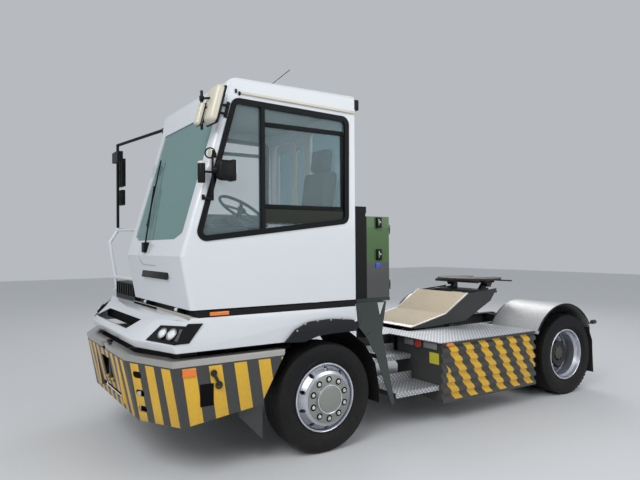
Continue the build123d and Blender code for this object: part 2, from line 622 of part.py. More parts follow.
with BuildPart() as front_bumper:
    plan_loft(
        [
            (both_sides(bumper_plan(0, 1)), BUMPER_BOTTOM),
            (both_sides(bumper_plan(0, 0)), BUMPER_TOP),
        ]
    )
    plan_loft(
        [
            (both_sides(bumper_plan(BUMPER_WALL, 1)), BUMPER_BOTTOM),
            (both_sides(bumper_plan(BUMPER_WALL, 0)), BUMPER_LIP_BOTTOM),
        ],
        mode=Mode.SUBTRACT,
    )
    plan_loft(
        [
            (both_sides(bumper_plan(BUMPER_LIP_DEPTH, 0)), BUMPER_LIP_BOTTOM),
            (both_sides(bumper_plan(BUMPER_LIP_DEPTH, 0)), BUMPER_TOP),
        ],
        mode=Mode.SUBTRACT,
    )
    # The side plates end in a slanted rear edge
    plate(
        -BODY_HALF,
        BODY_HALF,
        [
            (Y_FRONT_AXLE - 416, BUMPER_TOP + 1),
            (Y_FRONT_AXLE - 416, BUMPER_LIP_BOTTOM + 20),
            (Y_FRONT_AXLE - 640, BUMPER_BOTTOM - 1),
            (Y_FRONT_AXLE - 100, BUMPER_BOTTOM - 1),
            (Y_FRONT_AXLE - 100, BUMPER_TOP + 1),
        ],
        mode=Mode.SUBTRACT,
    )
    # Tow pocket in the nose: two shelves and a pin that stands in a notch of the lip
    pin_y = Y_NOSE + 70
    block(-POCKET_HALF, POCKET_HALF, Y_NOSE - 1, Y_NOSE + 80, POCKET_LOW, POCKET_HIGH, mode=Mode.SUBTRACT)
    block(-70, 70, Y_NOSE - 1, Y_NOSE + 96, BUMPER_LIP_BOTTOM - 1, BUMPER_TOP + 1, mode=Mode.SUBTRACT)
    block(-340, 340, Y_NOSE - 1, Y_NOSE + 100, 520, 572, mode=Mode.SUBTRACT)
    for z in (POCKET_LOW, POCKET_HIGH):
        block(-POCKET_HALF - 8, POCKET_HALF + 8, bumper_face(z) + 5, Y_NOSE + 110, z - 6, z + 6)
    with Locations((0, pin_y, (POCKET_LOW + BUMPER_TOP) / 2 - 10)):
        Cylinder(16, BUMPER_TOP - POCKET_LOW + 30)
    # Three drain slots in each chamfered corner
    for side in (-1, 1):
        for z in (800, 665, 545):
            fold = (BUMPER_TOP - z) / (BUMPER_TOP - BUMPER_BOTTOM)
            corner = Vector(side * BODY_HALF, BUMPER_CORNER_Y + fold * BUMPER_LEAN, z)
            slope = (Y_NOSE - BUMPER_CORNER_Y) / (BODY_HALF - BUMPER_NOSE_HALF)
            middle = corner + Vector(-side * 415, 415 * slope, 0)
            run = Vector(side, -slope, 0)
            facing = Plane(origin=middle, x_dir=run, z_dir=Vector(side * -slope, -1, 0))
            with BuildSketch(facing):
                SlotOverall(105, 50)
            extrude(amount=40, both=True, mode=Mode.SUBTRACT)
    # Foot plates behind the bumper's corners
    for side in (-1, 1):
        foot_x = side * 1170
        plate(
            foot_x - 6,
            foot_x + 6,
            [
                (Y_FRONT_AXLE - 800, BUMPER_BOTTOM + 60),
                (Y_FRONT_AXLE - 800, BUMPER_BOTTOM - 20),
                (Y_FRONT_AXLE - 590, 212),
                (Y_FRONT_AXLE - 590, 480),
                (Y_FRONT_AXLE - 640, BUMPER_BOTTOM + 60),
            ],
        )
        block(
            min(foot_x, side * (BODY_HALF - 6)),
            max(foot_x, side * (BODY_HALF - 6)),
            Y_FRONT_AXLE - 800,
            Y_FRONT_AXLE - 700,
            BUMPER_BOTTOM + 40,
            BUMPER_BOTTOM + 60,
        )
        # Arms that carry the bumper on the frame
        plate(
            side * RAIL_OUTSIDE - 40,
            side * RAIL_OUTSIDE + 40,
            [
                (bumper_face(BUMPER_BOTTOM + 60) + 6, BUMPER_BOTTOM + 60),
                (bumper_face(RAIL_TOP) + 6, RAIL_TOP),
                (FRAME_FRONT, RAIL_TOP),
                (FRAME_FRONT, BUMPER_BOTTOM + 60),
            ],
        )
front_bumper.part.label = "front_bumper"
export_step(front_bumper.part, "parts/front_bumper.step")


# Front fairing: white shell with a sloping nose, chamfered corners and long sides over the wheels
def fairing_sections(inset):
    """Plan outlines of the fairing, drawn in by an inset, from the foot to the flat top."""
    half = FAIRING_HALF - inset
    rear = CAB_REAR + (60 if inset else 0)
    lift = inset * 1.1
    rows = (
        # height, nose half width, nose Y, corner Y
        (FAIRING_BOTTOM - (1 if inset else 0), 745, Y_FRONT_AXLE - 1500, Y_FRONT_AXLE - 1335),
        (FAIRING_CREASE, 770, Y_FRONT_AXLE - 1530, Y_FRONT_AXLE - 1360),
        (FAIRING_BROW - inset, 773, Y_FRONT_AXLE - 1354, Y_FRONT_AXLE - 1236),
        (FAIRING_TOP - inset, 773, Y_FRONT_AXLE - 1228, Y_FRONT_AXLE - 1216),
    )
    sections = []
    for z, nose_half, nose_y, corner_y in rows:
        half_plan = [(half, rear), (half, corner_y + lift), (nose_half - inset * 0.3, nose_y + lift)]
        sections.append((both_sides(half_plan), z))
    return sections


ARCH_OUTER = [(-415, 996), (-316, 1093), (-175, 1150), (45, 1158), (275, 1133), (343, 1082)]
ARCH_INNER = [(308, 1031), (54, 1030), (-94, 1021), (-237, 983)]


def beside_axle(points):
    """Moves outline points given from the front axle to their place along the vehicle."""
    return [(Y_FRONT_AXLE + y, z) for y, z in points]


with BuildPart() as front_fairing:
    outer = fairing_sections(0)
    inner = fairing_sections(FAIRING_WALL)
    for low, high in zip(outer, outer[1:]):
        plan_loft([low, high])
    for low, high in zip(inner, inner[1:]):
        plan_loft([low, high], mode=Mode.SUBTRACT)
    # The arch over each front wheel
    plate(
        -FAIRING_HALF - 1,
        FAIRING_HALF + 1,
        beside_axle([(-415, FAIRING_BOTTOM - 2), (-300, 1075), (-175, 1130), (45, 1138), (400, 1118), (400, 990)]),
        mode=Mode.SUBTRACT,
    )
    # The opening over the engine, under the cab
    block(
        CAB_RIGHT + 70,
        CAB_LEFT - 70,
        CAB_FRONT + 130,
        CAB_REAR + 60,
        FAIRING_TOP - 2 * FAIRING_WALL,
        FAIRING_TOP + 1,
        mode=Mode.SUBTRACT,
    )
    # The black slot in the sloping nose
    with BuildSketch(across(0, Y_FRONT_AXLE - 1300, 0)):
        with BuildLine():
            Polyline((520, 1184), (390, 1102), (-790, 1102), (-580, 1184), close=True)
        make_face()
    extrude(amount=300, mode=Mode.SUBTRACT)
front_fairing.part.label = "front_fairing"
export_step(front_fairing.part, "parts/front_fairing.step")

# Headlamps: black housings that wrap the corner, each with two round lamps
with BuildPart() as headlamps:
    corner_low = Vector(FAIRING_HALF, Y_FRONT_AXLE - 1360, FAIRING_CREASE)
    nose_low = Vector(770, Y_FRONT_AXLE - 1530, FAIRING_CREASE)
    corner_high = Vector(FAIRING_HALF, Y_FRONT_AXLE - 1236, FAIRING_BROW)
    along = (corner_low - nose_low).normalized()
    normal = along.cross(corner_high - corner_low).normalized()
    lamp_plane = Plane(origin=corner_low, x_dir=along, z_dir=normal)
    with BuildSketch(lamp_plane):
        with BuildLine():
            Polyline((6, 6), (-330, 14), (-250, 150), (40, 165), close=True)
        make_face()
    extrude(amount=7)
    for x, radius in ((-160, 44), (-52, 49)):
        with BuildSketch(lamp_plane.offset(7)):
            with Locations((x, 80)):
                Circle(radius)
        extrude(amount=14)
    plate(
        FAIRING_HALF,
        FAIRING_HALF + 7,
        beside_axle([(-1356, 1066), (-1237, 1066), (-1125, 1208), (-1244, 1214)]),
    )
    mirror(about=Plane.YZ)
headlamps.part.label = "headlamps"
export_step(headlamps.part, "parts/headlamps.step")

# Cab bed: the black ring that the cab rests on, with the tilt hinge ears and rear pads
HINGE_Y = CAB_FRONT + 20
HINGE_Z = 1284
HINGE_EARS = ((CAB_MIDDLE - 430), (CAB_MIDDLE + 430))
HINGE_EAR_HALF = 30
HINGE_PIN_RADIUS = 12
HINGE_BOSS_RADIUS = 22
BED_RING = 62
with BuildPart() as cab_bed:
    block(CAB_RIGHT + 2, CAB_LEFT - 2, CAB_FRONT + 60, CAB_REAR, FAIRING_TOP, BED_TOP)
    block(
        CAB_RIGHT + 2 + BED_RING,
        CAB_LEFT - 2 - BED_RING,
        CAB_FRONT + 60 + BED_RING,
        CAB_REAR - BED_RING,
        FAIRING_TOP,
        BED_TOP,
        mode=Mode.SUBTRACT,
    )
    for x in HINGE_EARS:
        for side in (-1, 1):
            ear = x + side * (HINGE_EAR_HALF + MOVING_GAP + 10)
            block(ear - 10, ear + 10, HINGE_Y - HINGE_BOSS_RADIUS, CAB_FRONT + 70, FAIRING_TOP, HINGE_Z)
            rod_x(ear - 10, ear + 10, HINGE_Y, HINGE_Z, HINGE_BOSS_RADIUS)
        rod_x(x - HINGE_EAR_HALF - 12, x + HINGE_EAR_HALF + 12, HINGE_Y, HINGE_Z, HINGE_PIN_RADIUS)
    for x in (CAB_RIGHT + 40, CAB_LEFT - 40):
        block(x - 28, x + 28, CAB_REAR - 60, CAB_REAR - 10, BED_TOP, CAB_BOTTOM - SEAT_GAP)
cab_bed.part.label = "cab_bed"
export_step(cab_bed.part, "parts/cab_bed.step")

# Black flares over the front wheel arches
with BuildPart() as arch_flares:
    plate(FAIRING_HALF - FAIRING_WALL, FAIRING_HALF + 24, beside_axle(ARCH_OUTER + ARCH_INNER))
    plate(
        FAIRING_HALF - FAIRING_WALL,
        FAIRING_HALF,
        beside_axle([(-415, FAIRING_BOTTOM - 2), (-300, 1075), (-175, 1130), (45, 1138), (400, 1118), (400, 1300), (-415, 1300)]),
        mode=Mode.SUBTRACT,
    )
    mirror(about=Plane.YZ)
arch_flares.part.label = "arch_flares"
export_step(arch_flares.part, "parts/arch_flares.step")

ARCH_PLATE_OUT = BODY_HALF - 46

# Black liners over the front wheels: flats folded round the tyre, then a flap behind it
LINER_REACH = 600
LINER_SHEET = 5
LINER_FLATS = 7
LINER_FRONT = 150
LINER_FOOT = 330
LINER_FOLD = radians(LINER_FRONT / LINER_FLATS)
LINER_RADIUS = (LINER_REACH + LINER_SHEET) / cos(LINER_FOLD / 2)


def liner_point(angle, radius):
    """A point on the liner's section, at an angle from straight behind the front axle."""
    return (Y_FRONT_AXLE + radius * cos(angle), AXLE_Z + radius * sin(angle))


with BuildPart() as arch_liners:
    liner_out = ARCH_PLATE_OUT - SHEET - WELD_SEAM
    inside_lip = BODY_HALF - BUMPER_LIP_DEPTH - WELD_SEAM
    seam = WELD_SEAM / LINER_RADIUS
    for flat in range(LINER_FLATS):
        low = flat * LINER_FOLD + seam
        high = (flat + 1) * LINER_FOLD - seam
        inside = LINER_RADIUS - LINER_SHEET
        plate(
            RAIL_OUTSIDE,
            inside_lip if flat == LINER_FLATS - 1 else liner_out,
            [
                liner_point(low, LINER_RADIUS),
                liner_point(high, LINER_RADIUS),
                liner_point(high, inside),
                liner_point(low, inside),
            ],
        )
    block(
        RAIL_OUTSIDE,
        liner_out,
        Y_FRONT_AXLE + LINER_RADIUS - LINER_SHEET,
        Y_FRONT_AXLE + LINER_RADIUS,
        LINER_FOOT,
        AXLE_Z - WELD_SEAM,
    )
    mirror(about=Plane.YZ)
arch_liners.part.label = "arch_liners"
export_step(arch_liners.part, "parts/arch_liners.step")

# Tapered plates behind the front wheels, with the shelf that carries the locker on the left
with BuildPart() as arch_plates:
    for side in (-1, 1):
        inner = side * ARCH_PLATE_OUT - (SHEET if side > 0 else 0)
        plate(
            inner,
            inner + SHEET,
            beside_axle(
                [(353, 1270), (700, 1262), (650, 977), (796, 303), (756, 294), (570, 796), (512, 971), (373, 1076)]
            ),
        )
        plate(
            inner - 1,
            inner + SHEET + 1,
            beside_axle([(593, 1280), (691, 1280), (628, 1136)]),
            mode=Mode.SUBTRACT,
        )
        # Foot of the plate, bolted to the frame by a strut
        block(
            min(side * RAIL_OUTSIDE, side * ARCH_PLATE_OUT),
            max(side * RAIL_OUTSIDE, side * ARCH_PLATE_OUT),
            Y_FRONT_AXLE + 655,
            Y_FRONT_AXLE + 695,
            720,
            760,
        )
        block(
            min(side * (RAIL_OUTSIDE + 30), side * ARCH_PLATE_OUT),
            max(side * (RAIL_OUTSIDE + 30), side * ARCH_PLATE_OUT),
            Y_FRONT_AXLE + 360,
            Y_FRONT_AXLE + 700,
            1262,
            1262 + SHEET,
        )
        # Post from the rail to the shelf
        block(
            side * (RAIL_OUTSIDE + 30) - 25,
            side * (RAIL_OUTSIDE + 30) + 25,
            Y_FRONT_AXLE + 640,
            Y_FRONT_AXLE + 700,
            RAIL_TOP - 60,
            1262,
        )
    # The locker stands on a tray over the left shelf
    block(LOCKER_INSIDE, LOCKER_OUTSIDE, DUCT_FRONT, LOCKER_REAR, 1262 + SHEET, LOCKER_BOTTOM)
arch_plates.part.label = "arch_plates"
export_step(arch_plates.part, "parts/arch_plates.step")

# Intake column: a narrow black duct against the cab's back, with a raised mesh cap
with BuildPart() as intake_column:
    block(LOCKER_OUTSIDE - 250, LOCKER_OUTSIDE, DUCT_FRONT, LOCKER_FRONT - 1, LOCKER_BOTTOM, LOCKER_TOP)
    block(LOCKER_OUTSIDE - 245, LOCKER_OUTSIDE - 5, DUCT_FRONT + 5, LOCKER_FRONT - 8, LOCKER_TOP, LOCKER_TOP + 30)
    block(LOCKER_OUTSIDE - 250, LOCKER_OUTSIDE, DUCT_FRONT, LOCKER_FRONT - 3, LOCKER_TOP + 30, LOCKER_TOP + 90)
intake_column.part.label = "intake_column"
export_step(intake_column.part, "parts/intake_column.step")

# Locker: tall box open to the left, closed by its own door
LOCKER_DOOR = 14
DOOR_EDGE = 6
with BuildPart() as locker:
    block(
        LOCKER_INSIDE,
        LOCKER_OUTSIDE - LOCKER_DOOR - 1,
        LOCKER_FRONT,
        LOCKER_REAR,
        LOCKER_BOTTOM,
        LOCKER_TOP,
    )
    block(
        LOCKER_INSIDE + LOCKER_WALL,
        LOCKER_OUTSIDE,
        LOCKER_FRONT + LOCKER_WALL,
        LOCKER_REAR - LOCKER_WALL,
        LOCKER_BOTTOM + LOCKER_WALL,
        LOCKER_TOP - LOCKER_WALL,
        mode=Mode.SUBTRACT,
    )
    LOCKER_HINGE_Y = LOCKER_REAR + 9
    LOCKER_HINGE_X = LOCKER_OUTSIDE - 10
    for z in (LOCKER_BOTTOM + 120, LOCKER_TOP - 120):
        with Locations((LOCKER_HINGE_X, LOCKER_HINGE_Y, z)):
            Cylinder(7, 40)
        block(LOCKER_HINGE_X - 14, LOCKER_HINGE_X, LOCKER_REAR, LOCKER_HINGE_Y, z - 20, z + 20)
        with Locations((LOCKER_HINGE_X, LOCKER_HINGE_Y, z)):
            Cylinder(3.5, 90)
locker.part.label = "locker"
export_step(locker.part, "parts/locker.step")

with BuildPart() as locker_door:
    block(
        LOCKER_OUTSIDE - LOCKER_DOOR,
        LOCKER_OUTSIDE,
        LOCKER_FRONT,
        LOCKER_REAR - DOOR_EDGE,
        LOCKER_BOTTOM + 3,
        LOCKER_TOP,
    )
    for z in (LOCKER_BOTTOM + 120, LOCKER_TOP - 120):
        for step in (-1, 1):
            middle = z + step * 33
            with Locations((LOCKER_HINGE_X, LOCKER_HINGE_Y, middle)):
                Cylinder(7, 22)
            block(
                LOCKER_HINGE_X - 3,
                LOCKER_OUTSIDE - 2,
                LOCKER_REAR - DOOR_EDGE - 2,
                LOCKER_HINGE_Y,
                middle - 11,
                middle + 11,
            )
            with Locations((LOCKER_HINGE_X, LOCKER_HINGE_Y, middle)):
                Cylinder(3.5 + PIN_GAP, 22, mode=Mode.SUBTRACT)
    # Two latches down the middle of the door
    for low, high in ((LOCKER_TOP - 115, LOCKER_TOP - 10), (LOCKER_TOP - 410, LOCKER_TOP - 310)):
        block(
            LOCKER_OUTSIDE,
            LOCKER_OUTSIDE + 22,
            (LOCKER_FRONT + LOCKER_REAR) / 2 - 24,
            (LOCKER_FRONT + LOCKER_REAR) / 2 + 24,
            low,
            high,
        )
locker_door.part.label = "locker_door"
export_step(locker_door.part, "parts/locker_door.step")

# Deck: tread plates at each side, at the right front, and the walkway behind the cab
with BuildPart() as deck_plates:
    DECK_EDGE = BODY_HALF - 2
    for x0, x1, y0, y1 in (
        (DECK_INNER, DECK_EDGE, DECK_FRONT, DECK_REAR),
        (-DECK_EDGE, -DECK_INNER, DECK_FRONT, DECK_REAR),
        (DECK_JOINT - RAIL_OUTSIDE, RAIL_OUTSIDE, WALKWAY_FRONT, RIGHT_DECK_FRONT),
        (DECK_JOINT - DECK_INNER, DECK_INNER - DECK_JOINT, RIGHT_DECK_FRONT + DECK_JOINT, WALKWAY_REAR),
        (-BODY_HALF + 90, -DECK_INNER, RIGHT_DECK_FRONT, DECK_FRONT - DECK_JOINT),
    ):
        block(x0, x1, y0, y1, DECK_TOP - DECK_SHEET, DECK_TOP)
deck_plates.part.label = "deck_plates"
export_step(deck_plates.part, "parts/deck_plates.step")

# Side boxes with ribbed faces
for side_name, side in (("left", 1), ("right", -1)):
    with BuildPart() as side_box:
        face = BODY_HALF - RIB_DEPTH
        pitch = (DECK_TOP - DECK_SHEET - BOX_BOTTOM) / RIB_COUNT
        outline = [(BOX_INNER, DECK_TOP - DECK_SHEET)]
        for i in range(RIB_COUNT):
            top = DECK_TOP - DECK_SHEET - i * pitch
            outline += [
                (face, top),
                (face, top - pitch + RIB_BAND + RIB_DEPTH),
                (BODY_HALF, top - pitch + RIB_BAND),
                (BODY_HALF, top - pitch),
            ]
        outline += [(face - 20, BOX_BOTTOM), (BOX_INNER, BOX_BOTTOM + 60)]
        with BuildSketch(across(0, DECK_REAR, 0)):
            with BuildLine():
                Polyline(*[(side * x, z) for x, z in outline], close=True)
            make_face()
        extrude(amount=DECK_REAR - BOX_FRONT)
    side_box.part.label = f"side_box_{side_name}"
    export_step(side_box.part, f"parts/side_box_{side_name}.step")

# Steps between the left front wheel and the side box: treads with lips and risers welded on
STEP_FRONT = Y_FRONT_AXLE + 812
STEP_SHEET = 5
LOWER_STEP = 385
UPPER_STEP = 640
STEP_OUT = BODY_HALF - 50
STEP_MIDDLE = STEP_OUT - 420
STEP_IN = STEP_OUT - 700
with BuildPart() as access_steps:
    for inner_x, outer_x, top in ((STEP_MIDDLE, STEP_OUT, LOWER_STEP), (STEP_IN, STEP_MIDDLE, UPPER_STEP)):
        for x0, x1, z0, z1 in (
            (inner_x + STEP_SHEET + WELD_SEAM, outer_x, top - STEP_SHEET, top),
            (outer_x - STEP_SHEET, outer_x, top - 48, top - STEP_SHEET - WELD_SEAM),
            (inner_x + WELD_SEAM, inner_x + STEP_SHEET, top - STEP_SHEET, top + 78),
        ):
            block(x0, x1, STEP_FRONT + STEP_SHEET, BOX_FRONT - STEP_SHEET, z0, z1)
access_steps.part.label = "access_steps"
export_step(access_steps.part, "parts/access_steps.step")

with BuildPart() as step_sides:
    low = LOWER_STEP - 47
    bracket = UPPER_STEP - 95
    quads = (
        [(RAIL_OUTSIDE, 780), (RAIL_OUTSIDE, 600), (STEP_IN - WELD_SEAM, bracket), (STEP_IN - WELD_SEAM, 780)],
        [
            (STEP_IN, UPPER_STEP),
            (STEP_IN, bracket),
            (STEP_MIDDLE, low),
            (STEP_MIDDLE + 40, low),
            (STEP_MIDDLE + 40, LOWER_STEP - 1),
            (STEP_MIDDLE - 20, UPPER_STEP),
        ],
        [
            (STEP_MIDDLE + 40 + WELD_SEAM, low),
            (STEP_OUT - 10, low),
            (STEP_OUT - 10, LOWER_STEP - 1),
            (STEP_MIDDLE + 40 + WELD_SEAM, LOWER_STEP - 1),
        ],
    )
    for y in (STEP_FRONT + STEP_SHEET, BOX_FRONT):
        for quad in quads:
            with BuildSketch(across(0, y, 0)):
                with BuildLine():
                    Polyline(*quad, close=True)
                make_face()
            extrude(amount=STEP_SHEET)
step_sides.part.label = "step_sides"
export_step(step_sides.part, "parts/step_sides.step")

# Rear mudguards: plain arched sheets over the twins, and their rubber flaps
with BuildPart() as rear_mudguards:
    for side in (-1, 1):
        with BuildSketch(side_plane(min(side * GUARD_INNER, side * GUARD_OUTER))):
            with BuildLine() as arch:
                ThreePointArc(GUARD_FOOT, GUARD_TOP, GUARD_HEEL)
                ThreePointArc(
                    (GUARD_FOOT[0] + GUARD_SHEET, GUARD_FOOT[1] - 2),
                    (GUARD_TOP[0], GUARD_TOP[1] - GUARD_SHEET),
                    (GUARD_HEEL[0] - GUARD_SHEET, GUARD_HEEL[1] - 2),
                )
                Line(GUARD_FOOT, (GUARD_FOOT[0] + GUARD_SHEET, GUARD_FOOT[1] - 2))
                Line(GUARD_HEEL, (GUARD_HEEL[0] - GUARD_SHEET, GUARD_HEEL[1] - 2))
            make_face()
        extrude(amount=GUARD_OUTER - GUARD_INNER)
        # Bracket down to the frame's front stay
        block(
            side * 600 - 30,
            side * 600 + 30,
            Y_REAR_AXLE - 520,
            Y_REAR_AXLE - 480,
            RAIL_TOP - 50,
            860,
        )
rear_mudguards.part.label = "rear_mudguards"
export_step(rear_mudguards.part, "parts/rear_mudguards.step")

with BuildPart() as rear_mudflaps:
    for side in (-1, 1):
        plate(
            min(side * (GUARD_INNER + 10), side * (GUARD_OUTER - 6)),
            max(side * (GUARD_INNER + 10), side * (GUARD_OUTER - 6)),
            [
                (GUARD_HEEL[0], 790),
                (GUARD_HEEL[0] + 9, 790),
                (GUARD_HEEL[0] + 9, 705),
                (GUARD_HEEL[0] + 60, 600),
                (GUARD_HEEL[0] + 61, 475),
                (GUARD_HEEL[0] + 76, 205),
                (GUARD_HEEL[0] + 68, 205),
                (GUARD_HEEL[0] + 53, 475),
                (GUARD_HEEL[0] + 52, 604),
                (GUARD_HEEL[0], 710),
            ],
        )
rear_mudflaps.part.label = "rear_mudflaps"
export_step(rear_mudflaps.part, "parts/rear_mudflaps.step")

# Lamps: tail lamps on a bar, the marker arms, amber side markers
with BuildPart() as tail_bar:
    block(-1010, 1010, Y_TAIL - 60, Y_TAIL - 20, 660, 740)
    for side in (-1, 1):
        block(side * 850 - 130, side * 850 + 130, Y_TAIL - 20, Y_TAIL, 640, 760)
        rod_between((side * 1000, Y_TAIL - 40, 735), (side * 1190, Y_TAIL - 40, 810), 9)
        rod_between((side * 1190, Y_TAIL - 70, 812), (side * 1190, Y_TAIL - 10, 812), 26)
tail_bar.part.label = "tail_bar"
export_step(tail_bar.part, "parts/tail_bar.step")

with BuildPart() as marker_lamps:
    mirrored_block(BODY_HALF, BODY_HALF + 6, Y_FRONT_AXLE - 1245, Y_FRONT_AXLE - 1130, 820, 872)
    mirrored_block(
        BODY_HALF - RIB_DEPTH,
        BODY_HALF - 2,
        BOX_FRONT + 55,
        BOX_FRONT + 150,
        DECK_TOP - 46,
        DECK_TOP - 12,
    )
    for side in (-1, 1):
        with Locations(Location((side * (BODY_HALF - 338), BOX_FRONT - 9, DECK_TOP - 52), (90, 0, 0))):
            Cylinder(36, 18)
    block(CAB_LEFT - 2, CAB_LEFT + 6, Y_FRONT_AXLE - 1070, Y_FRONT_AXLE - 910, 1258, 1292)
marker_lamps.part.label = "marker_lamps"
export_step(marker_lamps.part, "parts/marker_lamps.step")

# Cooler grille on the platform to the right of the cab
with BuildPart() as cooler_grille:
    block(-1150, CAB_RIGHT - 90, CAB_FRONT + 25, CAB_FRONT + 330, FAIRING_TOP, 1425)
    for i in range(8):
        x = -1130 + 93 * i
        block(x, x + 70, CAB_FRONT + 20, CAB_FRONT + 35, FAIRING_TOP + 45, 1415, mode=Mode.SUBTRACT)
cooler_grille.part.label = "cooler_grille"
export_step(cooler_grille.part, "parts/cooler_grille.step")

# Cab shell, hollow, then cut into its panels where the real ones meet
INNER_LEFT = CAB_LEFT - CAB_WALL
INNER_RIGHT = CAB_RIGHT + CAB_WALL


def cab_profile(inset):
    """Side outline of the cab, drawn in by an inset and open at the foot when inset."""
    low = CAB_BOTTOM - (1 if inset else 0)
    return [
        (CAB_REAR - inset, low),
        (CAB_FRONT + inset, low),
        (BELT_Y + inset, BELT_Z),
        (BROW_Y + inset * 1.05, BROW_Z),
        (ROOF_NOSE_Y + inset, ROOF_TOP - inset),
        (CAB_REAR - inset, ROOF_TOP - inset),
    ]


with BuildPart() as cab_shell:
    with BuildSketch(side_plane(CAB_RIGHT)):
        with BuildLine():
            Polyline(*cab_profile(0), close=True)
        make_face()
        fillet(vertices().sort_by(Axis.Y)[-2:].sort_by(Axis.X)[0], ROOF_NOSE_RADIUS)
    extrude(amount=CAB_WIDTH)
    for pick in (-1, 0):
        side_face = faces().filter_by(Axis.X).sort_by(Axis.X)[pick]
        upper = [e for e in side_face.edges() if e.center().Z > CAB_BOTTOM + 5]
        fillet([e for e in upper if e.center().Y < CAB_REAR - 5], CAB_CORNER_RADIUS)
    with BuildSketch(side_plane(INNER_RIGHT)):
        with BuildLine():
            Polyline(*cab_profile(CAB_WALL), close=True)
        make_face()
        fillet(vertices().sort_by(Axis.Y)[-2:].sort_by(Axis.X)[0], ROOF_NOSE_RADIUS - CAB_WALL)
    extrude(amount=INNER_LEFT - INNER_RIGHT, mode=Mode.SUBTRACT)

# Side window: seal outline, glass set in a rubber seal, slider post
WINDOW = beside_axle([(-868, 2972), (257, 2942), (248, 1990), (-1195, 1822)])
POST_Y = Y_FRONT_AXLE - 605
POST_HALF = 17


def window_outline(x, inset, parted=False):
    """The side window's rounded outline at a place across the cab, whole or parted by the post."""
    with BuildSketch(side_plane(x)) as outline:
        with BuildLine():
            Polyline(*WINDOW, close=True)
        make_face()
        fillet(vertices(), WINDOW_CORNER)
        if inset:
            offset(amount=-inset)
        if parted:
            with Locations((POST_Y, 2400)):
                Rectangle(2 * POST_HALF, 1400, mode=Mode.SUBTRACT)
    return outline.sketch


with BuildPart() as cab_left_wall:
    add(cab_shell.part)
    block(INNER_LEFT, CAB_LEFT + 1, BELT_Y - 10, CAB_REAR + 1, CAB_BOTTOM - 1, ROOF_LINE, mode=Mode.INTERSECT)
    extrude(window_outline(INNER_LEFT - 1, SEAL_PROUD), amount=CAB_WALL + 2, mode=Mode.SUBTRACT)
cab_left_wall.part.label = "cab_left_wall"
export_step(cab_left_wall.part, "parts/cab_left_wall.step")

with BuildPart() as cab_right_wall:
    add(cab_shell.part)
    block(CAB_RIGHT - 1, INNER_RIGHT, BELT_Y - 10, CAB_REAR + 1, CAB_BOTTOM - 1, ROOF_LINE, mode=Mode.INTERSECT)
    extrude(window_outline(CAB_RIGHT - 1, SEAL_PROUD), amount=CAB_WALL + 2, mode=Mode.SUBTRACT)
cab_right_wall.part.label = "cab_right_wall"
export_step(cab_right_wall.part, "parts/cab_right_wall.step")

# Window seals: rubber rings through the side walls, with the slider post
with BuildPart() as window_seals:
    for inner, face in ((INNER_LEFT, CAB_LEFT), (CAB_RIGHT, CAB_RIGHT - SEAL_PROUD)):
        extrude(window_outline(inner, SEAL_PROUD), amount=CAB_WALL)
        extrude(window_outline(face, 0), amount=SEAL_PROUD)
        extrude(
            window_outline(inner - 2 * SEAL_PROUD, SEAL_WIDTH, parted=True),
            amount=CAB_WALL + 4 * SEAL_PROUD,
            mode=Mode.SUBTRACT,
        )
window_seals.part.label = "window_seals"
export_step(window_seals.part, "parts/window_seals.step")

# Front wall: below and around the windscreen
lean = atan2(BROW_Y - BELT_Y, BROW_Z - BELT_Z)
SCREEN_HALF = CAB_WIDTH / 2 - 118
screen_plane = Plane(origin=(CAB_MIDDLE, BELT_Y, BELT_Z), x_dir=(1, 0, 0), z_dir=(0, -cos(lean), sin(lean)))
FACE_HEIGHT = hypot(BROW_Y - BELT_Y, BROW_Z - BELT_Z)
SCREEN_LOW = 138
SCREEN_HIGH = FACE_HEIGHT - 6
SCREEN = [
    (-SCREEN_HALF, SCREEN_LOW + 50),
    (-SCREEN_HALF + 150, SCREEN_LOW),
    (SCREEN_HALF - 150, SCREEN_LOW),
    (SCREEN_HALF, SCREEN_LOW + 50),
    (SCREEN_HALF, SCREEN_HIGH),
    (-SCREEN_HALF, SCREEN_HIGH),
]

with BuildPart() as cab_front_wall:
    add(cab_shell.part)
    block(INNER_RIGHT, INNER_LEFT, BELT_Y - 10, ROOF_NOSE_Y + 70, CAB_BOTTOM - 1, ROOF_LINE, mode=Mode.INTERSECT)
    with BuildSketch(screen_plane.offset(-2 * CAB_WALL)):
        with BuildLine():
            Polyline(*SCREEN, close=True)
        make_face()
        fillet(vertices(), 30)
    extrude(amount=3 * CAB_WALL, mode=Mode.SUBTRACT)
    # Hinge lugs under the floor line
    for x in HINGE_EARS:
        block(
            x - HINGE_EAR_HALF,
            x + HINGE_EAR_HALF,
            CAB_FRONT + 12,
            CAB_FRONT + 40,
            HINGE_Z,
            CAB_BOTTOM + 4,
        )
        rod_x(x - HINGE_EAR_HALF, x + HINGE_EAR_HALF, HINGE_Y, HINGE_Z, HINGE_BOSS_RADIUS)
        rod_x(x - HINGE_EAR_HALF, x + HINGE_EAR_HALF, HINGE_Y, HINGE_Z, HINGE_PIN_RADIUS + PIN_GAP, mode=Mode.SUBTRACT)
cab_front_wall.part.label = "cab_front_wall"
export_step(cab_front_wall.part, "parts/cab_front_wall.step")

with BuildPart() as windscreen:
    with BuildSketch(screen_plane.offset(-GLASS - 8)):
        with BuildLine():
            Polyline(*SCREEN, close=True)
        make_face()
        fillet(vertices(), 30)
    extrude(amount=GLASS)
windscreen.part.label = "windscreen"
export_step(windscreen.part, "parts/windscreen.step")

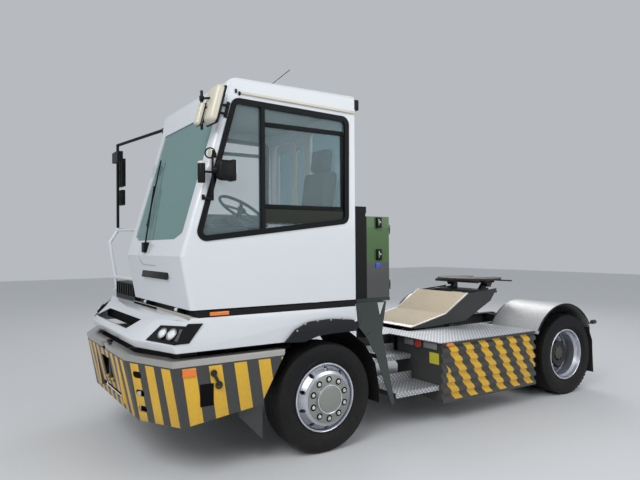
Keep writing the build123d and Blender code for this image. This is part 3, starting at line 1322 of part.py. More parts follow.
# Rear wall: doorway to the right of the locker, fixed window to the left
DOOR_LEFT = 430
DOOR_RIGHT = CAB_RIGHT + 60
DOOR_LOW = CAB_BOTTOM + CAB_FLOOR + 20
DOOR_HIGH = 2900
REAR_GLASS_LEFT = CAB_LEFT - 110
REAR_GLASS_RIGHT = DOOR_LEFT + 120
REAR_GLASS_LOW = 2060
REAR_GLASS_HIGH = 2900
with BuildPart() as cab_rear_wall:
    add(cab_shell.part)
    block(INNER_RIGHT, INNER_LEFT, CAB_REAR - CAB_WALL, CAB_REAR + 1, CAB_BOTTOM - 1, ROOF_LINE, mode=Mode.INTERSECT)
    with BuildSketch(across((DOOR_LEFT + DOOR_RIGHT) / 2, CAB_REAR + 1, (DOOR_LOW + DOOR_HIGH) / 2)):
        RectangleRounded(DOOR_LEFT - DOOR_RIGHT, DOOR_HIGH - DOOR_LOW, 40)
    extrude(amount=CAB_WALL + 2, mode=Mode.SUBTRACT)
    with BuildSketch(
        across((REAR_GLASS_LEFT + REAR_GLASS_RIGHT) / 2, CAB_REAR + 1, (REAR_GLASS_LOW + REAR_GLASS_HIGH) / 2)
    ):
        RectangleRounded(REAR_GLASS_LEFT - REAR_GLASS_RIGHT, REAR_GLASS_HIGH - REAR_GLASS_LOW, 50)
    extrude(amount=CAB_WALL + 2, mode=Mode.SUBTRACT)
    # Door rails above and below the doorway, on the outside of the wall
    for z in (DOOR_LOW - 40, DOOR_HIGH + 40):
        block(DOOR_RIGHT, CAB_LEFT - 60, CAB_REAR, CAB_REAR + 6, z - 10, z + 10)
cab_rear_wall.part.label = "cab_rear_wall"
export_step(cab_rear_wall.part, "parts/cab_rear_wall.step")

# Fixed glass in the side and rear windows
with BuildPart() as cab_glass:
    for middle in (CAB_LEFT - CAB_WALL / 2, CAB_RIGHT + CAB_WALL / 2):
        extrude(window_outline(middle - GLASS / 2, SEAL_WIDTH, parted=True), amount=GLASS)
    with BuildSketch(
        across((REAR_GLASS_LEFT + REAR_GLASS_RIGHT) / 2, CAB_REAR - 10, (REAR_GLASS_LOW + REAR_GLASS_HIGH) / 2)
    ):
        RectangleRounded(REAR_GLASS_LEFT - REAR_GLASS_RIGHT, REAR_GLASS_HIGH - REAR_GLASS_LOW, 50)
    extrude(amount=GLASS)
cab_glass.part.label = "cab_glass"
export_step(cab_glass.part, "parts/cab_glass.step")

with BuildPart() as cab_roof:
    add(cab_shell.part)
    block(
        CAB_RIGHT - 1,
        CAB_LEFT + 1,
        BELT_Y - 10,
        CAB_REAR + 1,
        ROOF_LINE,
        ROOF_TOP + 1,
        mode=Mode.INTERSECT,
    )
    # Drip rails
    for x0, x1 in ((CAB_LEFT, CAB_LEFT + 10), (CAB_RIGHT - 10, CAB_RIGHT)):
        block(x0, x1, Y_FRONT_AXLE - 780, CAB_REAR, ROOF_LINE, ROOF_LINE + 14)
    # Work lamp at the rear corner and the whip aerial
    rod_x(CAB_LEFT - 110, CAB_LEFT - 10, CAB_REAR + 24, ROOF_LINE + 62, 30)
    block(CAB_LEFT - 90, CAB_LEFT - 30, CAB_REAR - 5, CAB_REAR + 10, ROOF_LINE + 45, ROOF_LINE + 80)
    rod_between(
        (900, Y_FRONT_AXLE - 440, ROOF_TOP - 5), (900, Y_FRONT_AXLE - 150, ROOF_TOP + 250), 4
    )
cab_roof.part.label = "cab_roof"
export_step(cab_roof.part, "parts/cab_roof.step")

with BuildPart() as cab_floor:
    lean_in = (BELT_Y - CAB_FRONT) / (BELT_Z - CAB_BOTTOM) * CAB_FLOOR
    plate(
        INNER_RIGHT,
        INNER_LEFT,
        [
            (CAB_REAR - CAB_WALL, CAB_BOTTOM),
            (CAB_FRONT + CAB_WALL + SEAT_GAP, CAB_BOTTOM),
            (CAB_FRONT + CAB_WALL + SEAT_GAP + lean_in, CAB_BOTTOM + CAB_FLOOR),
            (CAB_REAR - CAB_WALL, CAB_BOTTOM + CAB_FLOOR),
        ],
    )
cab_floor.part.label = "cab_floor"
export_step(cab_floor.part, "parts/cab_floor.step")

# Sliding door on the back of the cab
DOOR_SHEET = 26
DOOR_FACE = CAB_REAR + 12
with BuildPart() as cab_door:
    with BuildSketch(across((DOOR_LEFT + DOOR_RIGHT) / 2, DOOR_FACE + DOOR_SHEET, (DOOR_LOW + DOOR_HIGH) / 2)):
        RectangleRounded(DOOR_LEFT - DOOR_RIGHT + 40, DOOR_HIGH - DOOR_LOW + 40, 50)
        with Locations((0, 260)):
            RectangleRounded(DOOR_LEFT - DOOR_RIGHT - 110, 840, 50, mode=Mode.SUBTRACT)
    extrude(amount=DOOR_SHEET)
    # Pull handle
    block(DOOR_LEFT - 30, DOOR_LEFT - 12, DOOR_FACE + DOOR_SHEET, DOOR_FACE + DOOR_SHEET + 16, 1900, 2060)
    # Runners that hook on the two rails
    for z in (DOOR_LOW - 40, DOOR_HIGH + 40):
        for x in (DOOR_LEFT - 80, DOOR_RIGHT + 80):
            low, high = (z - 24, z - 10 - SEAT_GAP) if z < DOOR_HIGH else (z + 10 + SEAT_GAP, z + 24)
            block(x - 25, x + 25, CAB_REAR + SEAT_GAP, DOOR_FACE + 8, low, high)
            joint_low, joint_high = (low, DOOR_LOW + 10) if z < DOOR_HIGH else (DOOR_HIGH - 10, high)
            block(x - 25, x + 25, DOOR_FACE, DOOR_FACE + 8, joint_low, joint_high)
cab_door.part.label = "cab_door"
export_step(cab_door.part, "parts/cab_door.step")

with BuildPart() as door_glass:
    with BuildSketch(
        across((DOOR_LEFT + DOOR_RIGHT) / 2, DOOR_FACE + DOOR_SHEET / 2 + GLASS / 2, (DOOR_LOW + DOOR_HIGH) / 2)
    ):
        with Locations((0, 260)):
            RectangleRounded(DOOR_LEFT - DOOR_RIGHT - 110, 840, 50)
    extrude(amount=GLASS)
door_glass.part.label = "door_glass"
export_step(door_glass.part, "parts/door_glass.step")

# Driver's seat, dashboard and steering wheel
FLOOR_TOP = CAB_BOTTOM + CAB_FLOOR
SEAT_X = 860
SEAT_Y = Y_FRONT_AXLE - 80
with BuildPart() as seat:
    block(SEAT_X - 190, SEAT_X + 190, SEAT_Y - 200, SEAT_Y + 180, FLOOR_TOP, FLOOR_TOP + 60)
    block(SEAT_X - 120, SEAT_X + 120, SEAT_Y - 140, SEAT_Y + 130, FLOOR_TOP + 60, FLOOR_TOP + 360)
    block(SEAT_X - 250, SEAT_X + 250, SEAT_Y - 260, SEAT_Y + 240, FLOOR_TOP + 360, FLOOR_TOP + 480)
    plate(
        SEAT_X - 230,
        SEAT_X + 230,
        [
            (SEAT_Y + 130, FLOOR_TOP + 470),
            (SEAT_Y + 250, FLOOR_TOP + 470),
            (SEAT_Y + 330, FLOOR_TOP + 1130),
            (SEAT_Y + 230, FLOOR_TOP + 1130),
        ],
    )
    plate(
        SEAT_X - 130,
        SEAT_X + 130,
        [
            (SEAT_Y + 235, FLOOR_TOP + 1120),
            (SEAT_Y + 320, FLOOR_TOP + 1120),
            (SEAT_Y + 340, FLOOR_TOP + 1340),
            (SEAT_Y + 250, FLOOR_TOP + 1340),
        ],
    )
seat.part.label = "seat"
export_step(seat.part, "parts/seat.step")

WHEEL_Y = Y_FRONT_AXLE - 620
WHEEL_Z = 2105
WHEEL_TILT = radians(32)
COLUMN_RADIUS = 24
with BuildPart() as steering_wheel:
    wheel_plane = Plane(
        origin=(SEAT_X, WHEEL_Y, WHEEL_Z), x_dir=(1, 0, 0), z_dir=(0, sin(WHEEL_TILT), cos(WHEEL_TILT))
    )
    with Locations(Location(wheel_plane)):
        Torus(212, 13)
        Cylinder(40, 30)
        with PolarLocations(105, 3, start_angle=90):
            Box(222, 26, 12)
    column_foot = tuple(wheel_plane.origin - wheel_plane.z_dir * 300)
    rod_between(column_foot, (SEAT_X, WHEEL_Y, WHEEL_Z), COLUMN_RADIUS)
steering_wheel.part.label = "steering_wheel"
export_step(steering_wheel.part, "parts/steering_wheel.step")

DASH_REAR = Y_FRONT_AXLE - 880
with BuildPart() as dashboard:
    plate(
        INNER_RIGHT + 4,
        INNER_LEFT - 4,
        [
            (CAB_FRONT + CAB_WALL + 30, FLOOR_TOP + 240),
            (DASH_REAR, FLOOR_TOP + 260),
            (DASH_REAR, FLOOR_TOP + 440),
            (DASH_REAR - 60, FLOOR_TOP + 480),
            (BELT_Y + CAB_WALL + 35, FLOOR_TOP + 440),
            (BELT_Y + CAB_WALL + 12, BELT_Z),
        ],
    )
    block(
        SEAT_X - 170,
        SEAT_X + 170,
        DASH_REAR - 160,
        DASH_REAR + 240,
        FLOOR_TOP + 430,
        FLOOR_TOP + 590,
    )
    for x in (INNER_RIGHT + 60, INNER_LEFT - 60):
        block(x - 30, x + 30, CAB_FRONT + 70, CAB_FRONT + 130, FLOOR_TOP, FLOOR_TOP + 300)
    rod_between(column_foot, (SEAT_X, WHEEL_Y, WHEEL_Z), COLUMN_RADIUS + SEAT_GAP, mode=Mode.SUBTRACT)
dashboard.part.label = "dashboard"
export_step(dashboard.part, "parts/dashboard.step")

# Left mirrors: each arm stands on a pad on the cab's side
PAD = 8
PAD_HALF = 12
with BuildPart() as mirrors_left:
    with BuildSketch(Plane.XY.offset(2730)):
        with Locations((MIRROR_REACH - 100, Y_FRONT_AXLE - 1045)):
            RectangleRounded(200, 70, 30)
    extrude(amount=270)
    plate(CAB_LEFT, CAB_LEFT + PAD, beside_axle([(-950, 2800), (-922, 2800), (-890, 2925), (-918, 2925)]))
    for y, z in ((-928, 2830), (-912, 2895)):
        arm_foot = (CAB_LEFT + PAD + 4, Y_FRONT_AXLE + y, z)
        rod_between(arm_foot, (MIRROR_REACH - 110, Y_FRONT_AXLE - 1040, z), 10)
    # Narrow mirror on a post beside the main one
    post_x = MIRROR_REACH - 190
    rod_between((post_x, Y_FRONT_AXLE - 1120, 2690), (post_x, Y_FRONT_AXLE - 1120, 2985), 11)
    rod_between((post_x, Y_FRONT_AXLE - 1120, 2860), (post_x + 100, Y_FRONT_AXLE - 1050, 2860), 8)
    block(post_x - 105, post_x - 5, Y_FRONT_AXLE - 1150, Y_FRONT_AXLE - 1112, 2720, 2890)
    # Lower mirrors on a hoop
    hoop_x = MIRROR_REACH - 80
    rod_between((hoop_x, Y_FRONT_AXLE - 1060, 2150), (hoop_x, Y_FRONT_AXLE - 1060, 2520), 10)
    for y, z in ((Y_FRONT_AXLE - 1118, 2170), (Y_FRONT_AXLE - 1022, 2500)):
        block(CAB_LEFT, CAB_LEFT + PAD, y - PAD_HALF, y + PAD_HALF, z - 20, z + 20)
        rod_between((hoop_x, Y_FRONT_AXLE - 1060, z), (CAB_LEFT + PAD - 1, y, z), 6)
    block(hoop_x - 10, MIRROR_REACH - 0.5, Y_FRONT_AXLE - 1060, Y_FRONT_AXLE - 900, 2290, 2462)
    rod_between((hoop_x - 28, Y_FRONT_AXLE - 1150, 2280), (hoop_x - 28, Y_FRONT_AXLE - 1150, 2440), 28)
    rod_between((hoop_x - 28, Y_FRONT_AXLE - 1150, 2360), (hoop_x, Y_FRONT_AXLE - 1060, 2360), 7)
mirrors_left.part.label = "mirrors_left"
export_step(mirrors_left.part, "parts/mirrors_left.step")

# Right mirror post: tall tube frame that stands off the cab's right front corner
POST_X = 70 - MIRROR_REACH
POST_TOP = 2950
POST_FOOT = 2012
POST_FRONT_Y = Y_FRONT_AXLE - 1140
with BuildPart() as mirror_post_right:
    rod_between((POST_X, POST_FRONT_Y, POST_FOOT), (POST_X, POST_FRONT_Y, POST_TOP), 16)
    rod_between((POST_X, POST_FRONT_Y, POST_TOP), (CAB_RIGHT - 20, Y_FRONT_AXLE - 905, 2985), 16)
    block(CAB_RIGHT - 40, CAB_RIGHT, Y_FRONT_AXLE - 930, Y_FRONT_AXLE - 880, 2940, 2998)
    with Locations((POST_X, POST_FRONT_Y, POST_TOP)):
        Sphere(17)
    # Mirrors: front, tall rear and small kerb
    block(POST_X - 70, POST_X + 110, POST_FRONT_Y + 20, POST_FRONT_Y + 60, 2480, 2790)
    block(POST_X - 50, POST_X + 90, POST_FRONT_Y + 20, POST_FRONT_Y + 60, 2270, 2440)
    rod_between((POST_X, POST_FRONT_Y, 2880), (POST_X + 240, POST_FRONT_Y - 60, 2800), 9)
    with Locations((POST_X + 280, POST_FRONT_Y - 70, 2770)):
        Box(230, 60, 110)
    for z in (2350, 2640):
        rod_between((POST_X, POST_FRONT_Y, z), (POST_X + 20, POST_FRONT_Y + 30, z), 9)
mirror_post_right.part.label = "mirror_post_right"
export_step(mirror_post_right.part, "parts/mirror_post_right.step")

# White guard rail below the post, fixed to the cab at two heights
with BuildPart() as guard_rail_right:
    elbow = (POST_X - 14, Y_FRONT_AXLE - 1225, 1850)
    top_corner = (POST_X, POST_FRONT_Y, POST_FOOT - 22)
    top_end = (CAB_RIGHT - PAD / 2, Y_FRONT_AXLE - 1180, 1965)
    foot_corner = (POST_X + 70, Y_FRONT_AXLE - 1170, 1330)
    low_end = (CAB_RIGHT - PAD / 2, Y_FRONT_AXLE - 1190, 1472)
    low_corner = (POST_X + 50, Y_FRONT_AXLE - 1180, 1462)
    for start, end in (
        (top_end, top_corner),
        (top_corner, elbow),
        (elbow, low_corner),
        (low_corner, foot_corner),
        (low_corner, low_end),
    ):
        rod_between(start, end, 19)
    for corner in (elbow, low_corner):
        with Locations(corner):
            Sphere(20)
    with Locations(top_corner):
        Cylinder(24, 44)
    for _, y, z in (top_end, low_end):
        block(CAB_RIGHT - PAD, CAB_RIGHT, y - PAD_HALF, y + PAD_HALF, z - 30, z + 30)
    block(
        POST_X + 30,
        POST_X + 110,
        Y_FRONT_AXLE - 1205,
        Y_FRONT_AXLE - 1135,
        1312,
        1330,
    )
guard_rail_right.part.label = "guard_rail_right"
export_step(guard_rail_right.part, "parts/guard_rail_right.step")

# Lift boom: torsion tube, two inner arms, two outer cheeks and the pedestal of the fifth wheel
ARM_X = 310


def along_boom(points):
    """Moves outline points given from the boom's datum to their place along the vehicle."""
    return [(BOOM_DATUM + y, z) for y, z in points]


RAMP_LINE = along_boom([(1683, 853), (2235, 972), (2620, 1200)])
CHEEK_TOP_REAR = (BOOM_DATUM + 3150, 1236)
with BuildPart() as lift_boom:
    for side in (-1, 1):
        outer = side * BOOM_HALF - (BOOM_PLATE if side > 0 else 0)
        plate(
            outer,
            outer + BOOM_PLATE,
            along_boom([(1730, 856), (2240, 966), (2622, 1192)])
            + [CHEEK_TOP_REAR]
            + along_boom([(3030, 1085), (2574, 867), (2000, BOOM_REST), (1730, BOOM_REST)]),
        )
        inner = side * ARM_X - BOOM_PLATE / 2
        plate(
            inner,
            inner + BOOM_PLATE,
            along_boom([(1620, 790), (1730, 856), (2240, 966), (2622, 1192)])
            + [CHEEK_TOP_REAR]
            + along_boom([(3060, 1010), (2900, 985), (2560, 905), (1900, 790), (1760, 690), (1640, 675)]),
        )
        # Cylinder lugs
        lug = side * 172 - 8
        plate(
            lug,
            lug + 16,
            along_boom([(2690, 1110), (2740, 1160), (2900, 1200), (2960, 1190), (2840, 955), (2770, 955)]),
        )
        for x0 in (inner, lug):
            rod_x(x0, x0 + 16, CYLINDER_EYE_Y, CYLINDER_EYE_Z, CYLINDER_PIN_RADIUS, mode=Mode.SUBTRACT)
    rod_x(-325, 325, BOOM_PIVOT_Y, BOOM_PIVOT_Z, BOOM_TUBE_RADIUS)
    rod_x(-BOOM_HALF + 8, BOOM_HALF - 8, BOOM_DATUM + 2720, 1110, 40)
    rod_x(-BOOM_HALF + 8, BOOM_HALF - 8, BOOM_DATUM + 2060, 880, 28)
    block(
        -BOOM_HALF,
        BOOM_HALF,
        BOOM_DATUM + 2860,
        BOOM_DATUM + 3150,
        1180,
        1212,
    )
    for side in (-1, 1):
        # Pedestal ear with a pin for the fifth wheel plate
        ear = side * 250 - 25
        plate(
            ear,
            ear + 50,
            [
                (FIFTH_Y - 90, 1200),
                (FIFTH_Y + 30, 1200),
                (FIFTH_Y + 30, FIFTH_PIVOT_Z),
                (FIFTH_Y, FIFTH_PIVOT_Z + 30),
                (FIFTH_Y - 30, FIFTH_PIVOT_Z),
            ],
        )
        rod_x(side * 250, side * 325, FIFTH_Y, FIFTH_PIVOT_Z, 18)
        # Bore for the frame's pivot pin
        rod_x(side * 240, side * 330, BOOM_PIVOT_Y, BOOM_PIVOT_Z, BOOM_PIN_RADIUS + PIN_GAP, mode=Mode.SUBTRACT)
lift_boom.part.label = "lift_boom"
export_step(lift_boom.part, "parts/lift_boom.step")

# Ramp plate on the boom, folded once
with BuildPart() as boom_ramp:
    plate(
        -BOOM_HALF,
        BOOM_HALF,
        RAMP_LINE
        + along_boom([(2622, 1192), (2240, 966), (1730, 856), (1687, 846.7)]),
    )
boom_ramp.part.label = "boom_ramp"
export_step(boom_ramp.part, "parts/boom_ramp.step")

# Fifth wheel plate: cast top with a throat open to the rear, a closed jaw, a skirt and pivot ears
PLATE_THICKNESS = 24
PLATE_FRONT = FIFTH_Y - 370
PLATE_HORN = FIFTH_Y + 300
with BuildPart() as fifth_wheel_plate:
    with BuildSketch(Plane.XY.offset(FIFTH_TOP - PLATE_THICKNESS)):
        with BuildLine():
            Line((-FIFTH_HALF, FIFTH_Y - 60), (-FIFTH_HALF, FIFTH_Y + 90))
            Line((-FIFTH_HALF, FIFTH_Y + 90), (-300, PLATE_HORN))
            Line((-300, PLATE_HORN), (-190, PLATE_HORN))
            Line((-190, PLATE_HORN), (-45, FIFTH_Y + 70))
            Line((-45, FIFTH_Y + 70), (45, FIFTH_Y + 70))
            Line((45, FIFTH_Y + 70), (190, PLATE_HORN))
            Line((190, PLATE_HORN), (300, PLATE_HORN))
            Line((300, PLATE_HORN), (FIFTH_HALF, FIFTH_Y + 90))
            Line((FIFTH_HALF, FIFTH_Y + 90), (FIFTH_HALF, FIFTH_Y - 60))
            ThreePointArc((FIFTH_HALF, FIFTH_Y - 60), (0, PLATE_FRONT), (-FIFTH_HALF, FIFTH_Y - 60))
        make_face()
        with Locations((0, FIFTH_Y)):
            Circle(KINGPIN_JAW_RADIUS, mode=Mode.SUBTRACT)
    extrude(amount=PLATE_THICKNESS)
    # Skirt and ribs under the plate
    for y in (FIFTH_Y - 240, FIFTH_Y - 110, FIFTH_Y + 50):
        block(-380, 380, y, y + 16, FIFTH_TOP - PLATE_THICKNESS - 34, FIFTH_TOP - PLATE_THICKNESS)
    for side in (-1, 1):
        ear = side * 335 - 20
        plate(
            ear,
            ear + 40,
            [
                (FIFTH_Y - 70, FIFTH_TOP - PLATE_THICKNESS),
                (FIFTH_Y + 70, FIFTH_TOP - PLATE_THICKNESS),
                (FIFTH_Y + 26, FIFTH_PIVOT_Z - 26),
                (FIFTH_Y - 26, FIFTH_PIVOT_Z - 26),
            ],
        )
        rod_x(side * 310, side * 330, FIFTH_Y, FIFTH_PIVOT_Z, 18 + PIN_GAP, mode=Mode.SUBTRACT)
    # Release handle on the left
    handle_z = FIFTH_TOP - PLATE_THICKNESS - 6
    rod_between((300, FIFTH_Y + 120, handle_z), (570, FIFTH_Y + 170, handle_z), 9)
fifth_wheel_plate.part.label = "fifth_wheel_plate"
export_step(fifth_wheel_plate.part, "parts/fifth_wheel_plate.step")

# Lift cylinders, drawn at rest between the foot pin and the boom's lugs
cylinder_foot = Vector(0, CYLINDER_FOOT_Y, CYLINDER_FOOT_Z)
cylinder_eye = Vector(0, CYLINDER_EYE_Y, CYLINDER_EYE_Z)
cylinder_line = (cylinder_eye - cylinder_foot).normalized()
CYLINDER_LENGTH = (cylinder_eye - cylinder_foot).length
BARREL_LENGTH = CYLINDER_LENGTH - 85
ROD_FOOT = 95


def on_cylinder(x, distance):
    """A point on a cylinder's line, at a distance from its foot pin."""
    point = cylinder_foot + cylinder_line * distance
    return (x, point.Y, point.Z)


with BuildPart() as lift_barrels:
    for side in (-1, 1):
        x = side * CYLINDER_X
        rod_between(on_cylinder(x, 40), on_cylinder(x, BARREL_LENGTH), BARREL_RADIUS)
        rod_x(x - 30, x + 30, CYLINDER_FOOT_Y, CYLINDER_FOOT_Z, BARREL_RADIUS - 4)
        rod_x(
            x - 30,
            x + 30,
            CYLINDER_FOOT_Y,
            CYLINDER_FOOT_Z,
            CYLINDER_PIN_RADIUS + PIN_GAP,
            mode=Mode.SUBTRACT,
        )
        rod_between(
            on_cylinder(x, ROD_FOOT - 8), on_cylinder(x, BARREL_LENGTH + 5), ROD_RADIUS + PIN_GAP, mode=Mode.SUBTRACT
        )
lift_barrels.part.label = "lift_barrels"
export_step(lift_barrels.part, "parts/lift_barrels.step")

with BuildPart() as lift_rods:
    for side in (-1, 1):
        x = side * CYLINDER_X
        rod_between(on_cylinder(x, ROD_FOOT), on_cylinder(x, CYLINDER_LENGTH - 20), ROD_RADIUS)
        rod_x(x - 32, x + 32, CYLINDER_EYE_Y, CYLINDER_EYE_Z, 46)
lift_rods.part.label = "lift_rods"
export_step(lift_rods.part, "parts/lift_rods.step")
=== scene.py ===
import json
from math import atan2, cos, pi, radians, sin

import bpy
from mathutils import Matrix, Vector

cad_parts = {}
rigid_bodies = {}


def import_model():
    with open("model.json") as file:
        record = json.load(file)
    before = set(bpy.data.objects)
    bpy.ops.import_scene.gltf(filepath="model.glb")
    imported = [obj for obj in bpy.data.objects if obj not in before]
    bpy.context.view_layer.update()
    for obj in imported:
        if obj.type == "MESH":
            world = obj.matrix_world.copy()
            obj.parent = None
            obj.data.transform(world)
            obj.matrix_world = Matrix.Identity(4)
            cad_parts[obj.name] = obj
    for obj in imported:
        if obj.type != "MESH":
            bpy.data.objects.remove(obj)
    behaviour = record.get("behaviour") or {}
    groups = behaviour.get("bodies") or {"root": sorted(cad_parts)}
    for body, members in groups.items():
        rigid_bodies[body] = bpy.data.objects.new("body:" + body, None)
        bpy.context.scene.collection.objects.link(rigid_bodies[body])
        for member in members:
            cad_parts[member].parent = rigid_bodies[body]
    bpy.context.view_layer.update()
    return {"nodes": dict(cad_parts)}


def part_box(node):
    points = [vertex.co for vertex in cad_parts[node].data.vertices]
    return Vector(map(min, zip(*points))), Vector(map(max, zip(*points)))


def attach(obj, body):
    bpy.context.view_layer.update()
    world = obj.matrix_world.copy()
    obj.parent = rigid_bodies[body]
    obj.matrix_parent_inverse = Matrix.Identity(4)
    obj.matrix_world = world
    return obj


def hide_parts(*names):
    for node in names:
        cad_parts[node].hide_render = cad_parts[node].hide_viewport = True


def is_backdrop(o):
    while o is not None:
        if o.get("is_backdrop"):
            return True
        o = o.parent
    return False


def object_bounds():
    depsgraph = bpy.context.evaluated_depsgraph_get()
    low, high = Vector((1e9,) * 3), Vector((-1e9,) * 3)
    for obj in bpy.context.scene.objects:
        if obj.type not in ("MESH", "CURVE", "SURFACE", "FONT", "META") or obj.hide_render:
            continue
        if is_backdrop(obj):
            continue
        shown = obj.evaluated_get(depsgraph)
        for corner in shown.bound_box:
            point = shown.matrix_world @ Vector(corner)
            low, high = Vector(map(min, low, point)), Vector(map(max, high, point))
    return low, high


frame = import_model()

nodes = frame["nodes"]

# %% [markdown]
# # Terminal tractor
# A yard tractor that moves trailers round a port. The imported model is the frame: it gives the
# exact place of every piece, and this lesson dresses it. X is the tractor's left, Y its rear,
# Z up, in metres. The front axle and the rear axle give most of the places below.

# %% Places that many pieces share
FRONT_AXLE = -1.260
REAR_AXLE = 2.210
AXLE_Z = 0.475
BODY = 1.250
CAB_LEFT = 1.240
CAB_RIGHT = -0.310
CAB_REAR = FRONT_AXLE + 0.320
SCREEN_SLOPE = 345 / 1170


def cab_front(z):
    """Y of the cab's front face at a height above the belt line."""
    return FRONT_AXLE - 1.295 + (z - 1.720) * SCREEN_SLOPE


# %% [markdown]
# ## Small tools for modelling
# Most fittings are a few primitives in one mesh. It would be possible to make each as its own
# object and join them, but adding primitives in edit mode keeps the object's origin at the
# world's origin, which Object coordinates need. Each tool adds one primitive to the open mesh.


# %% Modelling tools
def begin(name):
    """Opens an empty mesh at the world's origin in edit mode."""
    bpy.ops.object.select_all(action="DESELECT")
    bpy.ops.mesh.primitive_plane_add(location=(0, 0, 0))
    piece = bpy.context.object
    piece.name = name
    bpy.ops.object.mode_set(mode="EDIT")
    bpy.ops.mesh.select_all(action="SELECT")
    bpy.ops.mesh.delete(type="VERT")
    return piece


def box(x0, x1, y0, y1, z0, z1):
    """A box between limits, added to the open mesh."""
    middle = ((x0 + x1) / 2, (y0 + y1) / 2, (z0 + z1) / 2)
    bpy.ops.mesh.primitive_cube_add(size=1, location=middle, scale=(abs(x1 - x0), abs(y1 - y0), abs(z1 - z0)))


def turned_box(middle, size, rotation):
    """A box turned about its own middle, added to the open mesh."""
    bpy.ops.mesh.primitive_cube_add(size=1, location=middle, rotation=rotation, scale=size)


def rod(start, end, radius, sides=16, end_radius=None):
    """A round bar or cone from one point to another, added to the open mesh."""
    start, end = Vector(start), Vector(end)
    turn = (end - start).to_track_quat("Z", "Y").to_euler()
    bpy.ops.mesh.primitive_cone_add(
        vertices=sides,
        radius1=radius,
        radius2=radius if end_radius is None else end_radius,
        depth=(end - start).length,
        location=(start + end) / 2,
        rotation=turn,
    )


def ball(middle, radius, sides=16):
    """A ball, added to the open mesh."""
    bpy.ops.mesh.primitive_uv_sphere_add(segments=sides, ring_count=sides // 2, radius=radius, location=middle)


def ring(middle, normal, radius, thickness, sides=40, round_sides=10):
    """A torus round an axis, added to the open mesh."""
    turn = Vector(normal).to_track_quat("Z", "Y").to_euler()
    bpy.ops.mesh.primitive_torus_add(
        major_radius=radius,
        minor_radius=thickness,
        major_segments=sides,
        minor_segments=round_sides,
        location=middle,
        rotation=turn,
    )


def tube(points, radius, sides=14):
    """Round bars through several points with a ball at each bend, added to the open mesh."""
    for start, end in zip(points, points[1:]):
        rod(start, end, radius, sides)
    for corner in points[1:-1]:
        ball(corner, radius * 1.01, sides)


def finish_piece(piece, material, body, bevel=0.0, steps=2, smooth=35, stands_for=()):
    """Closes the open mesh: softens its edges, shades it, and lets it ride a body."""
    bpy.ops.mesh.select_all(action="SELECT")
    bpy.ops.mesh.normals_make_consistent(inside=False)
    bpy.ops.object.mode_set(mode="OBJECT")
    if bevel:
        modifier = piece.modifiers.new("soft_edges", "BEVEL")
        modifier.width = bevel
        modifier.segments = steps
        modifier.limit_method = "ANGLE"
        modifier.angle_limit = radians(40)
        bpy.ops.object.modifier_apply(modifier=modifier.name)
    bpy.ops.object.shade_smooth_by_angle(angle=radians(smooth))
    piece.data.materials.clear()
    piece.data.materials.append(material)
    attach(piece, body)
    if stands_for:
        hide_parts(*stands_for)
    return piece


def softened(node, name, material, body, bevel, steps=2, shift=None):
    """A copy of a CAD node with its flat faces joined and its edges rounded.

    shift gives how far each point moves up, where a form differs a little from the frame's."""
    bpy.ops.object.select_all(action="DESELECT")
    source = nodes[node]
    source.select_set(True)
    bpy.context.view_layer.objects.active = source
    bpy.ops.object.duplicate(linked=False)
    copy = bpy.context.object
    copy.name = name
    bpy.ops.object.parent_clear(type="CLEAR_KEEP_TRANSFORM")
    bpy.ops.object.mode_set(mode="EDIT")
    bpy.ops.mesh.select_all(action="SELECT")
    bpy.ops.mesh.remove_doubles(threshold=0.00005)
    bpy.ops.mesh.dissolve_limited(angle_limit=radians(1.5))
    if shift:
        bpy.ops.object.mode_set(mode="OBJECT")
        for vertex in copy.data.vertices:
            vertex.co = vertex.co + shift(vertex.co)
        bpy.ops.object.mode_set(mode="EDIT")
    return finish_piece(copy, material, body, bevel=bevel, steps=steps, stands_for=(node,))


# %% [markdown]
# ## Shader groups
# Three effects are used by many materials, so each is a node group with named inputs: grime
# that gathers low down, hazard stripes, and the raised lozenges of tread plate. A group gives
# only masks, colours and heights, and each material keeps its shader.


# %% Shader groups
def new_group(name, inputs, outputs):
    """A node group with named sockets, and its input and output nodes."""
    group = bpy.data.node_groups.new(name, "ShaderNodeTree")
    for label, kind, value in inputs:
        socket = group.interface.new_socket(name=label, in_out="INPUT", socket_type=kind)
        socket.default_value = value
    for label, kind in outputs:
        group.interface.new_socket(name=label, in_out="OUTPUT", socket_type=kind)
    entry = group.nodes.new("NodeGroupInput")
    leave = group.nodes.new("NodeGroupOutput")
    return group, entry, leave


def arithmetic(tree, operation, first, second=None):
    """A math node whose inputs are sockets or plain numbers; gives its output socket."""
    node = tree.nodes.new("ShaderNodeMath")
    node.operation = operation
    for socket, value in zip(node.inputs, (first, second)):
        if value is None:
            continue
        if isinstance(value, (int, float)):
            socket.default_value = value
        else:
            tree.links.new(value, socket)
    return node.outputs[0]


def object_axes(tree):
    """The X, Y and Z sockets of the Object coordinates."""
    place = tree.nodes.new("ShaderNodeTexCoord")
    split = tree.nodes.new("ShaderNodeSeparateXYZ")
    tree.links.new(place.outputs["Object"], split.inputs[0])
    return place.outputs["Object"], split.outputs


def noise(tree, vector, scale, detail=3.0):
    """A noise texture's value socket."""
    node = tree.nodes.new("ShaderNodeTexNoise")
    node.inputs["Scale"].default_value = scale
    node.inputs["Detail"].default_value = detail
    tree.links.new(vector, node.inputs["Vector"])
    return node.outputs["Fac"]


